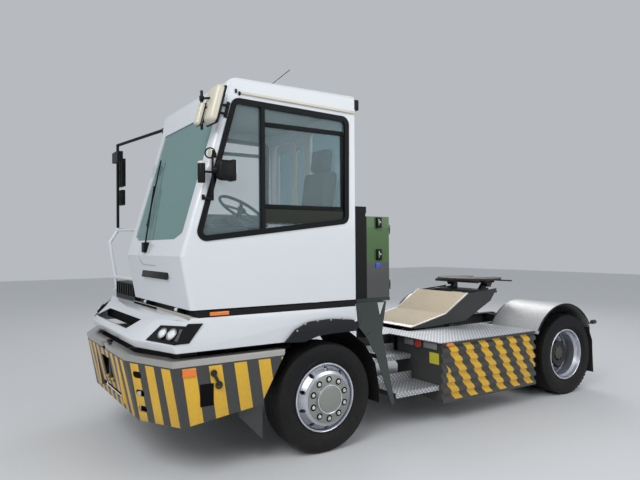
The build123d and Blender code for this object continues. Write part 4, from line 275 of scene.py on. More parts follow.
def make_grime():
    group, entry, leave = new_group(
        "Grime",
        [
            ("Paint", "NodeSocketColor", (0.8, 0.8, 0.8, 1)),
            ("Dirt", "NodeSocketColor", (0.16, 0.14, 0.12, 1)),
            ("Roughness", "NodeSocketFloat", 0.3),
            ("Amount", "NodeSocketFloat", 0.2),
            ("Reach", "NodeSocketFloat", 1.2),
        ],
        [("Color", "NodeSocketColor"), ("Roughness", "NodeSocketFloat")],
    )
    vector, axes = object_axes(group)
    height = arithmetic(group, "DIVIDE", axes[2], entry.outputs["Reach"])
    low = arithmetic(group, "SUBTRACT", 1.0, height)
    low = arithmetic(group, "MAXIMUM", low, 0.12)
    broad = noise(group, vector, 2.3, 5.0)
    fine = noise(group, vector, 38.0, 4.0)
    mix = arithmetic(group, "MULTIPLY", broad, fine)
    mix = arithmetic(group, "MULTIPLY", mix, 3.2)
    mask = arithmetic(group, "MULTIPLY", low, mix)
    mask = arithmetic(group, "MULTIPLY", mask, entry.outputs["Amount"])
    mask = arithmetic(group, "MINIMUM", mask, 0.9)
    blend = group.nodes.new("ShaderNodeMix")
    blend.data_type = "RGBA"
    group.links.new(mask, blend.inputs[0])
    group.links.new(entry.outputs["Paint"], blend.inputs[6])
    group.links.new(entry.outputs["Dirt"], blend.inputs[7])
    rough = arithmetic(group, "MULTIPLY", mask, 0.6)
    rough = arithmetic(group, "ADD", rough, entry.outputs["Roughness"])
    group.links.new(blend.outputs[2], leave.inputs["Color"])
    group.links.new(rough, leave.inputs["Roughness"])
    return group


def make_stripes():
    group, entry, leave = new_group(
        "Hazard Stripes",
        [
            ("Along", "NodeSocketFloat", 0.0),
            ("Up", "NodeSocketFloat", 0.0),
            ("Lean", "NodeSocketFloat", 0.5),
            ("Pitch", "NodeSocketFloat", 0.24),
            ("Share", "NodeSocketFloat", 0.46),
            ("Shift", "NodeSocketFloat", 0.0),
        ],
        [("Mask", "NodeSocketFloat")],
    )
    lean = arithmetic(group, "MULTIPLY", entry.outputs["Up"], entry.outputs["Lean"])
    place = arithmetic(group, "ADD", entry.outputs["Along"], lean)
    place = arithmetic(group, "ADD", place, entry.outputs["Shift"])
    place = arithmetic(group, "DIVIDE", place, entry.outputs["Pitch"])
    place = arithmetic(group, "FRACT", place)
    mask = arithmetic(group, "LESS_THAN", place, entry.outputs["Share"])
    group.links.new(mask, leave.inputs["Mask"])
    return group


def make_tread_plate():
    group, entry, leave = new_group(
        "Tread Plate",
        [("Pitch", "NodeSocketFloat", 0.036)],
        [("Height", "NodeSocketFloat"), ("Mask", "NodeSocketFloat")],
    )
    _, axes = object_axes(group)
    across = arithmetic(group, "ADD", axes[0], axes[2])
    first = arithmetic(group, "ADD", across, axes[1])
    second = arithmetic(group, "SUBTRACT", across, axes[1])
    first = arithmetic(group, "DIVIDE", first, entry.outputs["Pitch"])
    second = arithmetic(group, "DIVIDE", second, entry.outputs["Pitch"])
    cell = arithmetic(group, "ADD", arithmetic(group, "FLOOR", first), arithmetic(group, "FLOOR", second))
    odd = arithmetic(group, "FRACT", arithmetic(group, "MULTIPLY", cell, 0.5))
    odd = arithmetic(group, "GREATER_THAN", odd, 0.25)
    local = [arithmetic(group, "SUBTRACT", arithmetic(group, "FRACT", part), 0.5) for part in (first, second)]
    distances = []
    for wide, narrow in ((local[0], local[1]), (local[1], local[0])):
        a = arithmetic(group, "POWER", arithmetic(group, "ABSOLUTE", arithmetic(group, "DIVIDE", wide, 0.46)), 2.0)
        b = arithmetic(group, "POWER", arithmetic(group, "ABSOLUTE", arithmetic(group, "DIVIDE", narrow, 0.15)), 2.0)
        distances.append(arithmetic(group, "ADD", a, b))
    gap = arithmetic(group, "SUBTRACT", distances[1], distances[0])
    chosen = arithmetic(group, "ADD", distances[0], arithmetic(group, "MULTIPLY", gap, odd))
    height = arithmetic(group, "MAXIMUM", arithmetic(group, "SUBTRACT", 1.0, chosen), 0.0)
    height = arithmetic(group, "MINIMUM", arithmetic(group, "MULTIPLY", height, 2.5), 1.0)
    mask = arithmetic(group, "GREATER_THAN", height, 0.3)
    group.links.new(height, leave.inputs["Height"])
    group.links.new(mask, leave.inputs["Mask"])
    return group


GRIME = make_grime()
STRIPES = make_stripes()
TREAD_PLATE = make_tread_plate()

# %% [markdown]
# ## Materials
# Painted steel is a plain shader with a clear coat, and the grime group dulls it towards the
# ground. Bare metal is the same with metallic set. Each colour was read from the photograph
# and brought down to what the paint would be in plain light, except where light or shade is
# painted in: the window glass, the locker door's green, the rear wheels' dishes, the bumper's
# lip, the cab's gutters and the flat black shade fills.


# %% Materials
def plain(name, color, roughness, metallic=0.0, coat=0.0, shine=0.5):
    """A material with constant values only."""
    mat = bpy.data.materials.new(name)
    mat.use_nodes = True
    shader = mat.node_tree.nodes["Principled BSDF"]
    shader.inputs["Base Color"].default_value = (*color, 1)
    shader.inputs["Roughness"].default_value = roughness
    shader.inputs["Metallic"].default_value = metallic
    shader.inputs["Coat Weight"].default_value = coat
    shader.inputs["Coat Roughness"].default_value = 0.05
    shader.inputs["Specular IOR Level"].default_value = shine
    return mat


def use_group(tree, group, **values):
    """Places a group in a material and sets its numbers."""
    node = tree.nodes.new("ShaderNodeGroup")
    node.node_tree = group
    for label, value in values.items():
        node.inputs[label].default_value = value
    return node


def dirty(name, color, roughness, amount, metallic=0.0, coat=0.0, reach=1.2, dirt=(0.13, 0.115, 0.1), shine=0.5):
    """Paint or metal that the grime group dulls low down."""
    mat = plain(name, color, roughness, metallic, coat, shine)
    tree = mat.node_tree
    grime = use_group(
        tree, GRIME, Paint=(*color, 1), Dirt=(*dirt, 1), Roughness=roughness, Amount=amount, Reach=reach
    )
    shader = tree.nodes["Principled BSDF"]
    tree.links.new(grime.outputs["Color"], shader.inputs["Base Color"])
    tree.links.new(grime.outputs["Roughness"], shader.inputs["Roughness"])
    return mat


def speckled(mat, scale, strength, distance=0.002):
    """Adds a fine bump, as of cast metal, rubber or cloth."""
    tree = mat.node_tree
    place = tree.nodes.new("ShaderNodeTexCoord")
    grain = noise(tree, place.outputs["Object"], scale, 4.0)
    bump = tree.nodes.new("ShaderNodeBump")
    bump.inputs["Strength"].default_value = strength
    bump.inputs["Distance"].default_value = distance
    tree.links.new(grain, bump.inputs["Height"])
    tree.links.new(bump.outputs["Normal"], tree.nodes["Principled BSDF"].inputs["Normal"])
    return mat


YELLOW = (0.80, 0.47, 0.025)
cab_white = dirty("cab_white", (0.72, 0.75, 0.78), 0.22, 0.10, coat=0.6, reach=2.2, dirt=(0.5, 0.49, 0.46))
steel_grey = dirty("steel_grey", (0.035, 0.037, 0.038), 0.42, 0.2, shine=0.4)
panel_light = dirty("panel_light", (0.24, 0.245, 0.24), 0.4, 0.2)
panel_grey = dirty("panel_grey", (0.032, 0.041, 0.040), 0.36, 0.15, coat=0.15, shine=0.4)
ramp_beige = speckled(dirty("ramp_beige", (0.78, 0.65, 0.46), 0.6, 0.22, reach=2.5, dirt=(0.25, 0.19, 0.13)), 60, 0.15)
cast_metal = speckled(dirty("cast_metal", (0.05, 0.043, 0.038), 0.45, 0.35, metallic=0.5), 90, 0.4)
axle_black = speckled(dirty("axle_black", (0.016, 0.016, 0.017), 0.5, 0.5, shine=0.3), 70, 0.3)
black_plastic = speckled(plain("black_plastic", (0.007, 0.007, 0.008), 0.45, shine=0.2), 260, 0.2, 0.001)
flare_plastic = speckled(dirty("flare_plastic", (0.009, 0.010, 0.013), 0.40, 0.15, shine=0.25), 260, 0.2, 0.001)
rubber = plain("rubber", (0.005, 0.006, 0.007), 0.45, shine=0.15)
tyre_rubber = speckled(dirty("tyre_rubber", (0.0040, 0.0045, 0.0055), 0.55, 0.12, reach=1.4, shine=0.2), 160, 0.2, 0.001)
flap_rubber = dirty("flap_rubber", (0.008, 0.008, 0.009), 0.6, 0.2, shine=0.25)
liner_black = dirty("liner_black", (0.005, 0.005, 0.006), 0.7, 0.15, shine=0.15)
wheel_silver = dirty("wheel_silver", (0.62, 0.64, 0.70), 0.26, 0.2, metallic=0.85, reach=1.0)
cover_grey = dirty("cover_grey", (0.33, 0.34, 0.31), 0.34, 0.15, metallic=0.75, reach=1.0)
hub_dark = dirty("hub_dark", (0.10, 0.10, 0.095), 0.4, 0.5, metallic=0.7, reach=1.2)
polished = plain("polished", (0.82, 0.83, 0.85), 0.12, metallic=1.0)
zinc = plain("zinc", (0.42, 0.42, 0.42), 0.3, metallic=0.9)
mirror_glass = plain("mirror_glass", (0.85, 0.86, 0.88), 0.03, metallic=1.0)
# Flat black put where there is only shade: painted shade in holes, recesses and gaps.
painted_shade_black = plain("painted_shade_black", (0.003, 0.003, 0.004), 0.7, shine=0.1)
amber = plain("amber", (0.85, 0.20, 0.012), 0.2, coat=0.8)
red_lens = plain("red_lens", (0.45, 0.035, 0.02), 0.2, coat=0.8)
smoked_lens = plain("smoked_lens", (0.06, 0.065, 0.07), 0.15, coat=0.8)
clear_lens = plain("clear_lens", (0.80, 0.83, 0.85), 0.1, coat=0.8)
label_blue = plain("label_blue", (0.02, 0.10, 0.55), 0.3)
label_yellow = plain("label_yellow", (0.66, 0.60, 0.05), 0.35)
cream_plastic = plain("cream_plastic", (0.66, 0.62, 0.50), 0.3, coat=0.3)
fascia_beige = dirty("fascia_beige", (0.42, 0.40, 0.35), 0.5, 0.2, reach=2.2)
seat_cloth = speckled(plain("seat_cloth", (0.022, 0.025, 0.028), 0.85), 420, 0.5, 0.001)
dash_plastic = speckled(plain("dash_plastic", (0.085, 0.085, 0.085), 0.55), 300, 0.2, 0.001)
trim_cream = plain("trim_cream", (0.60, 0.56, 0.40), 0.5)
inner_trim = plain("inner_trim", (0.42, 0.44, 0.44), 0.6)
olive_panel = plain("olive_panel", (0.013, 0.017, 0.010), 0.35, shine=0.25)


def glass(name, painted_reflection_tint, cover_straight_on):
    """Window glass: mostly clear straight on, mirror-like at a glance, and light passes into the cab; its bright teal
    colour is a painted reflection of sky and buildings.
    """
    mat = plain(name, painted_reflection_tint, 0.03, shine=0.8)
    tree = mat.node_tree
    shader = tree.nodes["Principled BSDF"]
    facing = tree.nodes.new("ShaderNodeFresnel")
    facing.inputs["IOR"].default_value = 1.5
    rays = tree.nodes.new("ShaderNodeLightPath")
    cover = arithmetic(tree, "ADD", facing.outputs[0], cover_straight_on)
    cover = arithmetic(tree, "MINIMUM", cover, 1.0)
    passing = arithmetic(tree, "SUBTRACT", 1.0, arithmetic(tree, "MULTIPLY", rays.outputs["Is Shadow Ray"], 0.9))
    tree.links.new(arithmetic(tree, "MULTIPLY", cover, passing), shader.inputs["Alpha"])
    return mat


# The tints of both glasses are painted reflections of sky and buildings.
window_glass = glass("window_glass", (0.38, 0.54, 0.58), 0.09)
screen_glass = glass("screen_glass", (0.22, 0.36, 0.36), 0.15)


def tread_metal(name):
    """Aluminium tread plate: raised lozenges, a little brighter than the sheet."""
    mat = plain(name, (0.70, 0.72, 0.74), 0.34, metallic=0.8)
    tree = mat.node_tree
    shader = tree.nodes["Principled BSDF"]
    plate = use_group(tree, TREAD_PLATE, Pitch=0.044)
    grime = use_group(
        tree, GRIME, Paint=(0.48, 0.50, 0.53, 1), Dirt=(0.2, 0.19, 0.18, 1), Roughness=0.34, Amount=0.5, Reach=2.0
    )
    bright = tree.nodes.new("ShaderNodeMix")
    bright.data_type = "RGBA"
    bright.inputs[7].default_value = (0.92, 0.93, 0.95, 1)
    tree.links.new(plate.outputs["Mask"], bright.inputs[0])
    tree.links.new(grime.outputs["Color"], bright.inputs[6])
    tree.links.new(bright.outputs[2], shader.inputs["Base Color"])
    tree.links.new(grime.outputs["Roughness"], shader.inputs["Roughness"])
    bump = tree.nodes.new("ShaderNodeBump")
    bump.inputs["Strength"].default_value = 0.6
    bump.inputs["Distance"].default_value = 0.003
    tree.links.new(plate.outputs["Height"], bump.inputs["Height"])
    tree.links.new(bump.outputs["Normal"], shader.inputs["Normal"])
    return mat


deck_aluminium = tread_metal("deck_aluminium")
guard_metal = speckled(dirty("guard_metal", (0.82, 0.82, 0.81), 0.36, 0.3, metallic=0.9, reach=2.6), 9, 0.1, 0.004)


def striped(name, base, parts, low, high):
    """Grey paint with yellow stripes. Each part says where it applies and how its stripes run."""
    mat = plain(name, base, 0.4, coat=0.15, shine=0.4)
    tree = mat.node_tree
    shader = tree.nodes["Principled BSDF"]
    _, axes = object_axes(tree)
    total = None
    for part in parts:
        stripes = use_group(
            tree, STRIPES, Lean=part["lean"], Pitch=part["pitch"], Share=part["share"], Shift=part["shift"]
        )
        tree.links.new(axes[part["along"]], stripes.inputs["Along"])
        tree.links.new(axes[2], stripes.inputs["Up"])
        if part["mirrored"]:
            tree.links.new(arithmetic(tree, "ABSOLUTE", axes[part["along"]]), stripes.inputs["Along"])
        reach = arithmetic(tree, "ABSOLUTE", axes[0])
        inside = arithmetic(tree, "GREATER_THAN", reach, part["from_x"])
        outside = arithmetic(tree, "LESS_THAN", reach, part["to_x"])
        mask = arithmetic(tree, "MULTIPLY", stripes.outputs["Mask"], inside)
        mask = arithmetic(tree, "MULTIPLY", mask, outside)
        behind = arithmetic(tree, "GREATER_THAN", axes[1], part["from_y"])
        ahead = arithmetic(tree, "LESS_THAN", axes[1], part["to_y"])
        mask = arithmetic(tree, "MULTIPLY", mask, arithmetic(tree, "MULTIPLY", behind, ahead))
        total = mask if total is None else arithmetic(tree, "MAXIMUM", total, mask)
    above = arithmetic(tree, "GREATER_THAN", axes[2], low)
    below = arithmetic(tree, "LESS_THAN", axes[2], high)
    total = arithmetic(tree, "MULTIPLY", total, arithmetic(tree, "MULTIPLY", above, below))
    paint = tree.nodes.new("ShaderNodeMix")
    paint.data_type = "RGBA"
    paint.inputs[6].default_value = (*base, 1)
    paint.inputs[7].default_value = (*YELLOW, 1)
    tree.links.new(total, paint.inputs[0])
    grime = use_group(tree, GRIME, Dirt=(0.1, 0.09, 0.08, 1), Roughness=0.38, Amount=0.35, Reach=1.3)
    tree.links.new(paint.outputs[2], grime.inputs["Paint"])
    tree.links.new(grime.outputs["Color"], shader.inputs["Base Color"])
    tree.links.new(grime.outputs["Roughness"], shader.inputs["Roughness"])
    return mat


def wear_and_highlight_above(mat, height, color):
    """Turns the part of a painted piece above a height into worn bare steel, made brighter as a painted highlight."""
    tree = mat.node_tree
    shader = tree.nodes["Principled BSDF"]
    paint = shader.inputs["Base Color"].links[0].from_socket
    _, axes = object_axes(tree)
    upper = arithmetic(tree, "GREATER_THAN", axes[2], height)
    lip_wear_and_highlight = tree.nodes.new("ShaderNodeMix")
    lip_wear_and_highlight.data_type = "RGBA"
    lip_wear_and_highlight.inputs[7].default_value = (*color, 1)
    tree.links.new(upper, lip_wear_and_highlight.inputs[0])
    tree.links.new(paint, lip_wear_and_highlight.inputs[6])
    tree.links.new(lip_wear_and_highlight.outputs[2], shader.inputs["Base Color"])
    tree.links.new(arithmetic(tree, "MULTIPLY", upper, 0.85), shader.inputs["Metallic"])


def paint_dish_shade(mat, axle_y, radius, color):
    """Paints shade into the dish of a wheel: everything nearer the axle than a radius turns dark."""
    tree = mat.node_tree
    shader = tree.nodes["Principled BSDF"]
    paint = shader.inputs["Base Color"].links[0].from_socket
    _, axes = object_axes(tree)
    over = arithmetic(tree, "SUBTRACT", axes[1], axle_y)
    above = arithmetic(tree, "SUBTRACT", axes[2], AXLE_Z)
    squares = arithmetic(tree, "MULTIPLY", over, over)
    squares = arithmetic(tree, "ADD", squares, arithmetic(tree, "MULTIPLY", above, above))
    inner = arithmetic(tree, "LESS_THAN", squares, radius * radius)
    dish_shade = tree.nodes.new("ShaderNodeMix")
    dish_shade.data_type = "RGBA"
    dish_shade.inputs[7].default_value = (*color, 1)
    tree.links.new(inner, dish_shade.inputs[0])
    tree.links.new(paint, dish_shade.inputs[6])
    tree.links.new(dish_shade.outputs[2], shader.inputs["Base Color"])


rear_wheel_painted_shade = dirty("rear_wheel_painted_shade", (0.62, 0.64, 0.70), 0.26, 0.2, metallic=0.85, reach=1.0)
# The rear rim's dish is darkened inside its radius: painted shade.
paint_dish_shade(rear_wheel_painted_shade, REAR_AXLE, 0.212, (0.045, 0.045, 0.043))
box_stripes = striped(
    "box_stripes",
    (0.045, 0.047, 0.046),
    [{"along": 1, "mirrored": False, "lean": 0.573, "pitch": 0.2265, "share": 0.485, "shift": -0.426,
      "from_x": 1.2, "to_x": 1.3, "from_y": 0.200, "to_y": 1.562}],
    0.235,
    0.785,
)
bumper_stripes = striped(
    "bumper_stripes",
    (0.040, 0.042, 0.044),
    [
        {"along": 1, "mirrored": False, "lean": 0.145, "pitch": 0.211, "share": 0.51, "shift": 2.4264,
         "from_x": 1.243, "to_x": 1.3, "from_y": -3.0, "to_y": 0.0},
        {"along": 0, "mirrored": True, "lean": 0.02, "pitch": 0.1745, "share": 0.54, "shift": 0.0829,
         "from_x": 0.715, "to_x": 1.236, "from_y": -3.0, "to_y": -2.5},
        {"along": 0, "mirrored": False, "lean": 0.05, "pitch": 0.176, "share": 0.49, "shift": 0.100,
         "from_x": 0.0, "to_x": 0.705, "from_y": -3.0, "to_y": -2.5},
    ],
    0.415,
    0.880,
)
# The lip above this height is worn bare steel, brightened as a painted highlight.
wear_and_highlight_above(bumper_stripes, 0.893, (0.50, 0.49, 0.46))

# %% [markdown]
# ## Dress the CAD nodes
# Most of the tractor's sheet metal already has its right shape in the frame, so it only needs
# its finish. The table pairs each node with one material.

# %% Node finishes
FINISH = {
    cab_white: "cab_left_wall cab_right_wall cab_front_wall cab_rear_wall cab_roof guard_rail_right cab_door",
    steel_grey: "chassis_frame frame_members step_sides lift_boom tail_bar lift_barrels",
    panel_grey: "arch_plates locker",
    ramp_beige: "boom_ramp",
    cast_metal: "fifth_wheel_plate engine_block",
    axle_black: "front_axle rear_axle drive_shaft knuckle_left knuckle_right tie_rod frame_pins",
    black_plastic: "cab_bed cooler_grille intake_column headlamps mirror_post_right steering_wheel cab_floor",
    flare_plastic: "arch_flares",
    rubber: "window_seals",
    flap_rubber: "rear_mudflaps",
    liner_black: "arch_liners",
    wheel_silver: "front_rim_left front_rim_right",
    rear_wheel_painted_shade: "rear_rims_left rear_rims_right",
    deck_aluminium: "deck_plates access_steps",
    guard_metal: "rear_mudguards",
    polished: "lift_rods",
    window_glass: "cab_glass door_glass",
    screen_glass: "windscreen",
    dash_plastic: "dashboard",
    box_stripes: "side_box_left side_box_right",
    bumper_stripes: "front_bumper",
}
for finish, names in FINISH.items():
    for name in names.split():
        mesh = nodes[name].data
        mesh.materials.clear()
        mesh.materials.append(finish)

# %% [markdown]
# ## Tyres
# A tyre is a body of revolution, so its section is drawn once and spun about the axle. The
# section could be bevelled from a cylinder, but a drawn one gives the bead, the bulge of the
# side, two raised rings and the grooves of the tread at their true places. The driven rear
# tyres also get cross lugs, made once and repeated round the axle.

# %% Tyres
TYRE_SECTION = [
    # across from the middle, radius
    (-0.116, 0.2868), (-0.116, 0.3015), (-0.128, 0.3150), (-0.143, 0.3380), (-0.1495, 0.3480), (-0.1520, 0.3500),
    (-0.1525, 0.3560), (-0.1545, 0.3700), (-0.1560, 0.3850), (-0.1540, 0.4020), (-0.1545, 0.4060),
    (-0.1535, 0.4120), (-0.1490, 0.4300), (-0.1440, 0.4500), (-0.1410, 0.4590), (-0.1350, 0.4640),
    (-0.1200, 0.4715),
]
GROOVES = (-0.078, -0.026, 0.026, 0.078)


def tyre_outline(groove_depth):
    """The closed section of a tyre, with its tread grooves, as across and radius pairs."""
    crown = []
    for middle in GROOVES:
        crown += [(middle - 0.007, 0.4742), (middle - 0.004, 0.4745 - groove_depth)]
        crown += [(middle + 0.004, 0.4745 - groove_depth), (middle + 0.007, 0.4742)]
    side = TYRE_SECTION
    other = [(-across, radius) for across, radius in reversed(TYRE_SECTION)]
    return side + crown + other


def spin_tyre(middle_x, axle_y, groove_depth):
    """Spins one tyre's section into the open mesh."""
    outline = tyre_outline(groove_depth)
    bpy.ops.mesh.select_all(action="DESELECT")
    bpy.ops.mesh.primitive_circle_add(vertices=len(outline), radius=1, location=(0, 0, 0))
    piece = bpy.context.object
    bpy.ops.object.mode_set(mode="OBJECT")
    fresh = [v for v in piece.data.vertices if v.select]
    for vertex, (across, radius) in zip(fresh, outline):
        vertex.co = (middle_x + across, axle_y, AXLE_Z + radius)
    bpy.ops.object.mode_set(mode="EDIT")
    bpy.ops.mesh.spin(steps=96, angle=2 * pi, center=(middle_x, axle_y, AXLE_Z), axis=(1, 0, 0))
    bpy.ops.mesh.select_all(action="SELECT")
    bpy.ops.mesh.remove_doubles(threshold=0.0002)


def add_lugs(middle_x, axle_y):
    """Cross lugs of a driven tyre: one row made and repeated round the axle."""
    bpy.ops.mesh.select_all(action="DESELECT")
    for across, length, turn in ((-0.112, 0.05, 0.25), (-0.052, 0.042, -0.2), (0.0, 0.042, 0.2),
                                 (0.052, 0.042, -0.2), (0.112, 0.05, 0.25)):
        turned_box((middle_x + across, axle_y, AXLE_Z + 0.468), (length, 0.030, 0.014), (0, 0, turn))
    bpy.ops.mesh.spin(
        steps=56, angle=2 * pi, dupli=True, center=(middle_x, axle_y, AXLE_Z), axis=(1, 0, 0)
    )


TYRES = (
    # name, body, node, middles across, axle, groove depth, lugs
    ("tyre_front_left", "front_wheel_left", "front_tyre_left", (1.095,), FRONT_AXLE, 0.011, False),
    ("tyre_front_right", "front_wheel_right", "front_tyre_right", (-1.095,), FRONT_AXLE, 0.011, False),
    ("tyres_rear_left", "rear_wheels_left", "rear_tyres_left", (1.078, 0.728), REAR_AXLE, 0.013, True),
    ("tyres_rear_right", "rear_wheels_right", "rear_tyres_right", (-1.078, -0.728), REAR_AXLE, 0.013, True),
)
for name, body, node, middles, axle, depth, lugs in TYRES:
    piece = begin(name)
    for middle in middles:
        spin_tyre(middle, axle, depth)
        if lugs:
            add_lugs(middle, axle)
    finish_piece(piece, tyre_rubber, body, smooth=28, stands_for=(node,))

# %% [markdown]
# ## Wheel nuts, hubs and valves
# The front rim bulges out: a flat grey cover with ten round wells lies over its nuts, round a
# wide cap. The rear rim is dished, so its nuts sit deep inside. Both are rings of short bars
# placed from a pitch circle.


# %% Wheel fittings
NUT_PITCH = 0.1675
COVER_RADIUS = 0.210
CAP_RADIUS = 0.122


def round_axle(axle, radius, step, shift=0.5, count=10):
    """Y and Z of one of several places on a circle round an axle."""
    angle = 2 * pi * (step + shift) / count
    return axle + radius * cos(angle), AXLE_Z + radius * sin(angle)


def nut_ring(x, axle, out, washer, reach):
    """Ten nuts with their washers on the pitch circle, pointing out."""
    for step in range(10):
        y, z = round_axle(axle, NUT_PITCH, step)
        rod((x, y, z), (x + out * 0.004, y, z), washer, 20)
        rod((x, y, z), (x + out * reach, y, z), 0.0165, 6)
        rod((x, y, z), (x + out * (reach + 0.008), y, z), 0.010, 12)


for side_name, out in (("left", 1), ("right", -1)):
    face = out * (1.095 + 0.175)
    middle = (FRONT_AXLE, AXLE_Z)
    body = f"front_wheel_{side_name}"
    piece = begin(f"nut_cover_front_{side_name}")
    rod((face - out * 0.001, *middle), (face + out * 0.006, *middle), COVER_RADIUS, 72)
    finish_piece(piece, cover_grey, body, bevel=0.002)
    # The ten wells are painted shade: flat black discs where the cover's holes fall into shadow.
    piece = begin(f"nut_wells_front_{side_name}")
    for step in range(10):
        y, z = round_axle(FRONT_AXLE, NUT_PITCH, step)
        rod((face, y, z), (face + out * 0.0072, y, z), 0.030, 28)
    finish_piece(piece, painted_shade_black, body)
    piece = begin(f"well_rims_front_{side_name}")
    for step in range(10):
        y, z = round_axle(FRONT_AXLE, NUT_PITCH, step)
        ring((face + out * 0.0065, y, z), (1, 0, 0), 0.031, 0.0022, 28, 8)
    finish_piece(piece, cover_grey, body)
    piece = begin(f"nuts_front_{side_name}")
    nut_ring(face + out * 0.0070, FRONT_AXLE, out, 0.0165, 0.008)
    finish_piece(piece, polished, body, bevel=0.0012)
    piece = begin(f"hub_cap_front_{side_name}")
    rod((face, *middle), (face + out * 0.024, *middle), CAP_RADIUS, 64)
    rod((face + out * 0.022, *middle), (face + out * 0.029, *middle), CAP_RADIUS - 0.010, 64, CAP_RADIUS - 0.016)
    finish_piece(piece, cover_grey, body, bevel=0.003)
    piece = begin(f"hub_ring_front_{side_name}")
    ring((face + out * 0.024, *middle), (1, 0, 0), CAP_RADIUS - 0.002, 0.0055, 64)
    ring((out * (1.095 + 0.1265), *middle), (1, 0, 0), 0.2935, 0.0045, 96)
    finish_piece(piece, polished, body)
    face = out * (1.078 - 0.175 + 0.012)
    middle = (REAR_AXLE, AXLE_Z)
    body = f"rear_wheels_{side_name}"
    piece = begin(f"hub_rear_{side_name}")
    nut_ring(face, REAR_AXLE, out, 0.021, 0.024)
    rod((face - out * 0.002, *middle), (face + out * 0.002, *middle), 0.206, 64)
    rod((face, *middle), (out * 1.030, *middle), 0.126, 48, 0.118)
    rod((out * 1.028, *middle), (out * 1.108, *middle), 0.098, 40, 0.092)
    rod((out * 1.106, *middle), (out * 1.114, *middle), 0.078, 8)
    for step in range(8):
        y, z = round_axle(REAR_AXLE, 0.080, step, 0, 8)
        rod((out * 1.106, y, z), (out * 1.118, y, z), 0.009, 6)
    finish_piece(piece, hub_dark, body, bevel=0.0015)
    piece = begin(f"rim_edge_rear_{side_name}")
    ring((out * (1.078 + 0.1265), *middle), (1, 0, 0), 0.2935, 0.0045, 96)
    finish_piece(piece, polished, body)
    piece = begin(f"valve_rear_{side_name}")
    tube([(out * 0.985, REAR_AXLE, AXLE_Z + 0.246), (out * 1.02, REAR_AXLE, AXLE_Z + 0.222),
          (out * 1.10, REAR_AXLE, AXLE_Z + 0.215)], 0.004, 8)
    finish_piece(piece, zinc, body)

# %% [markdown]
# ## Bumper
# A heavy folded plate. The frame's node is copied, its flat faces are joined and its edges
# rounded, which gives the rolled lip the light it has on the real one. The foot of the real
# plate also drops a little towards the nose, so the copy's lower points are moved down there
# before the edges are rounded. The lip is worn bare steel with a painted highlight: it is that
# brighter colour above a height in the same material.

# %% Bumper
NOSE_Y = FRONT_AXLE - 1.590
CORNER_Y = FRONT_AXLE - 1.371
BUMPER_TOP = 0.943
LIP_LOW = 0.888
PLATE_HEIGHT = 0.491
BUMPER_LEAN = 0.080
FOOT_DROP = 0.12
LEVEL_Y = -2.45


def foot_shift(point):
    """How far a point of the bumper moves to follow the sloping foot; the feet stay."""
    if point.z < 0.440:
        return Vector((0, 0, 0))
    share = min(max((LIP_LOW - point.z) / (LIP_LOW - 0.452), 0.0), 1.0)
    rise = FOOT_DROP * (point.y - LEVEL_Y) * share
    return Vector((0, -rise * BUMPER_LEAN / PLATE_HEIGHT if point.y < -2.5 else 0, rise))


bumper = softened("front_bumper", "bumper_plate", bumper_stripes, "chassis", 0.010, 3, foot_shift)


def bumper_point(x, z):
    """A point on the bumper's front or corner face."""
    fold = (BUMPER_TOP - z) / PLATE_HEIGHT
    nose_half = 0.700 + 0.060 * fold
    slope = (CORNER_Y - NOSE_Y) / 0.550
    y = CORNER_Y + BUMPER_LEAN * fold - slope * (1.250 - max(abs(x), nose_half))
    return Vector((x, y, z))


# A thin black patch on each side of the bumper is painted shade for a recess there.
piece = begin("bumper_side_recess")
for side in (-1, 1):
    x = side * 1.2512
    box(x - 0.0025, x + 0.0025, FRONT_AXLE - 1.154, FRONT_AXLE - 1.044, 0.578, 0.748)
finish_piece(piece, painted_shade_black, "chassis", bevel=0.002)

# Black sheets behind the bumper's openings are painted shade.
piece = begin("bumper_void")
box(-0.36, 0.36, NOSE_Y + 0.128, NOSE_Y + 0.132, 0.480, 0.850)
for side in (-1, 1):
    spot = bumper_point(side * 0.835, 0.670) + Vector((0, 0.060, 0))
    turned_box(spot, (0.150, 0.004, 0.360), (0, 0, side * atan2(0.219, 0.550)))
finish_piece(piece, painted_shade_black, "chassis")

piece = begin("tow_pin_ring")
rod((0, NOSE_Y + 0.070, 0.935), (0, NOSE_Y + 0.070, 0.962), 0.021, 24)
tube([(0.02, NOSE_Y + 0.060, 0.955), (0.10, NOSE_Y + 0.020, 0.972), (0.17, NOSE_Y + 0.015, 0.966),
      (0.20, NOSE_Y + 0.030, 0.952)], 0.009, 10)
finish_piece(piece, axle_black, "chassis", bevel=0.002)

for side_name, side in (("left", 1), ("right", -1)):
    piece = begin(f"bumper_hook_{side_name}")
    x = side * 1.262
    upper = (x, FRONT_AXLE - 1.046, 0.824)
    lower = (x, FRONT_AXLE - 1.004, 0.728)
    ring(upper, (1, 0, 0), 0.020, 0.0075, 24)
    ring(lower, (1, 0, 0), 0.023, 0.0085, 24)
    tube([(x, upper[1] + 0.010, 0.806), (x, lower[1] - 0.006, 0.752)], 0.0125, 12)
    rod((side * 1.249, upper[1], 0.824), (side * 1.272, upper[1], 0.824), 0.011)
    rod((side * 1.249, lower[1], 0.728), (side * 1.268, lower[1], 0.728), 0.010)
    finish_piece(piece, axle_black, "chassis", bevel=0.001)
    piece = begin(f"marker_bumper_{side_name}")
    box(side * 1.249, side * 1.258, FRONT_AXLE - 1.292, FRONT_AXLE - 1.184, 0.814, 0.876)
    finish_piece(piece, amber, "chassis", bevel=0.004)

# %% [markdown]
# ## Headlamps and fairing
# The fairing's edges are rounded from a merged copy, as the bumper's were. Each lamp has a
# bright bowl and a domed lens, placed on a plane through the sloping corner of the fairing.

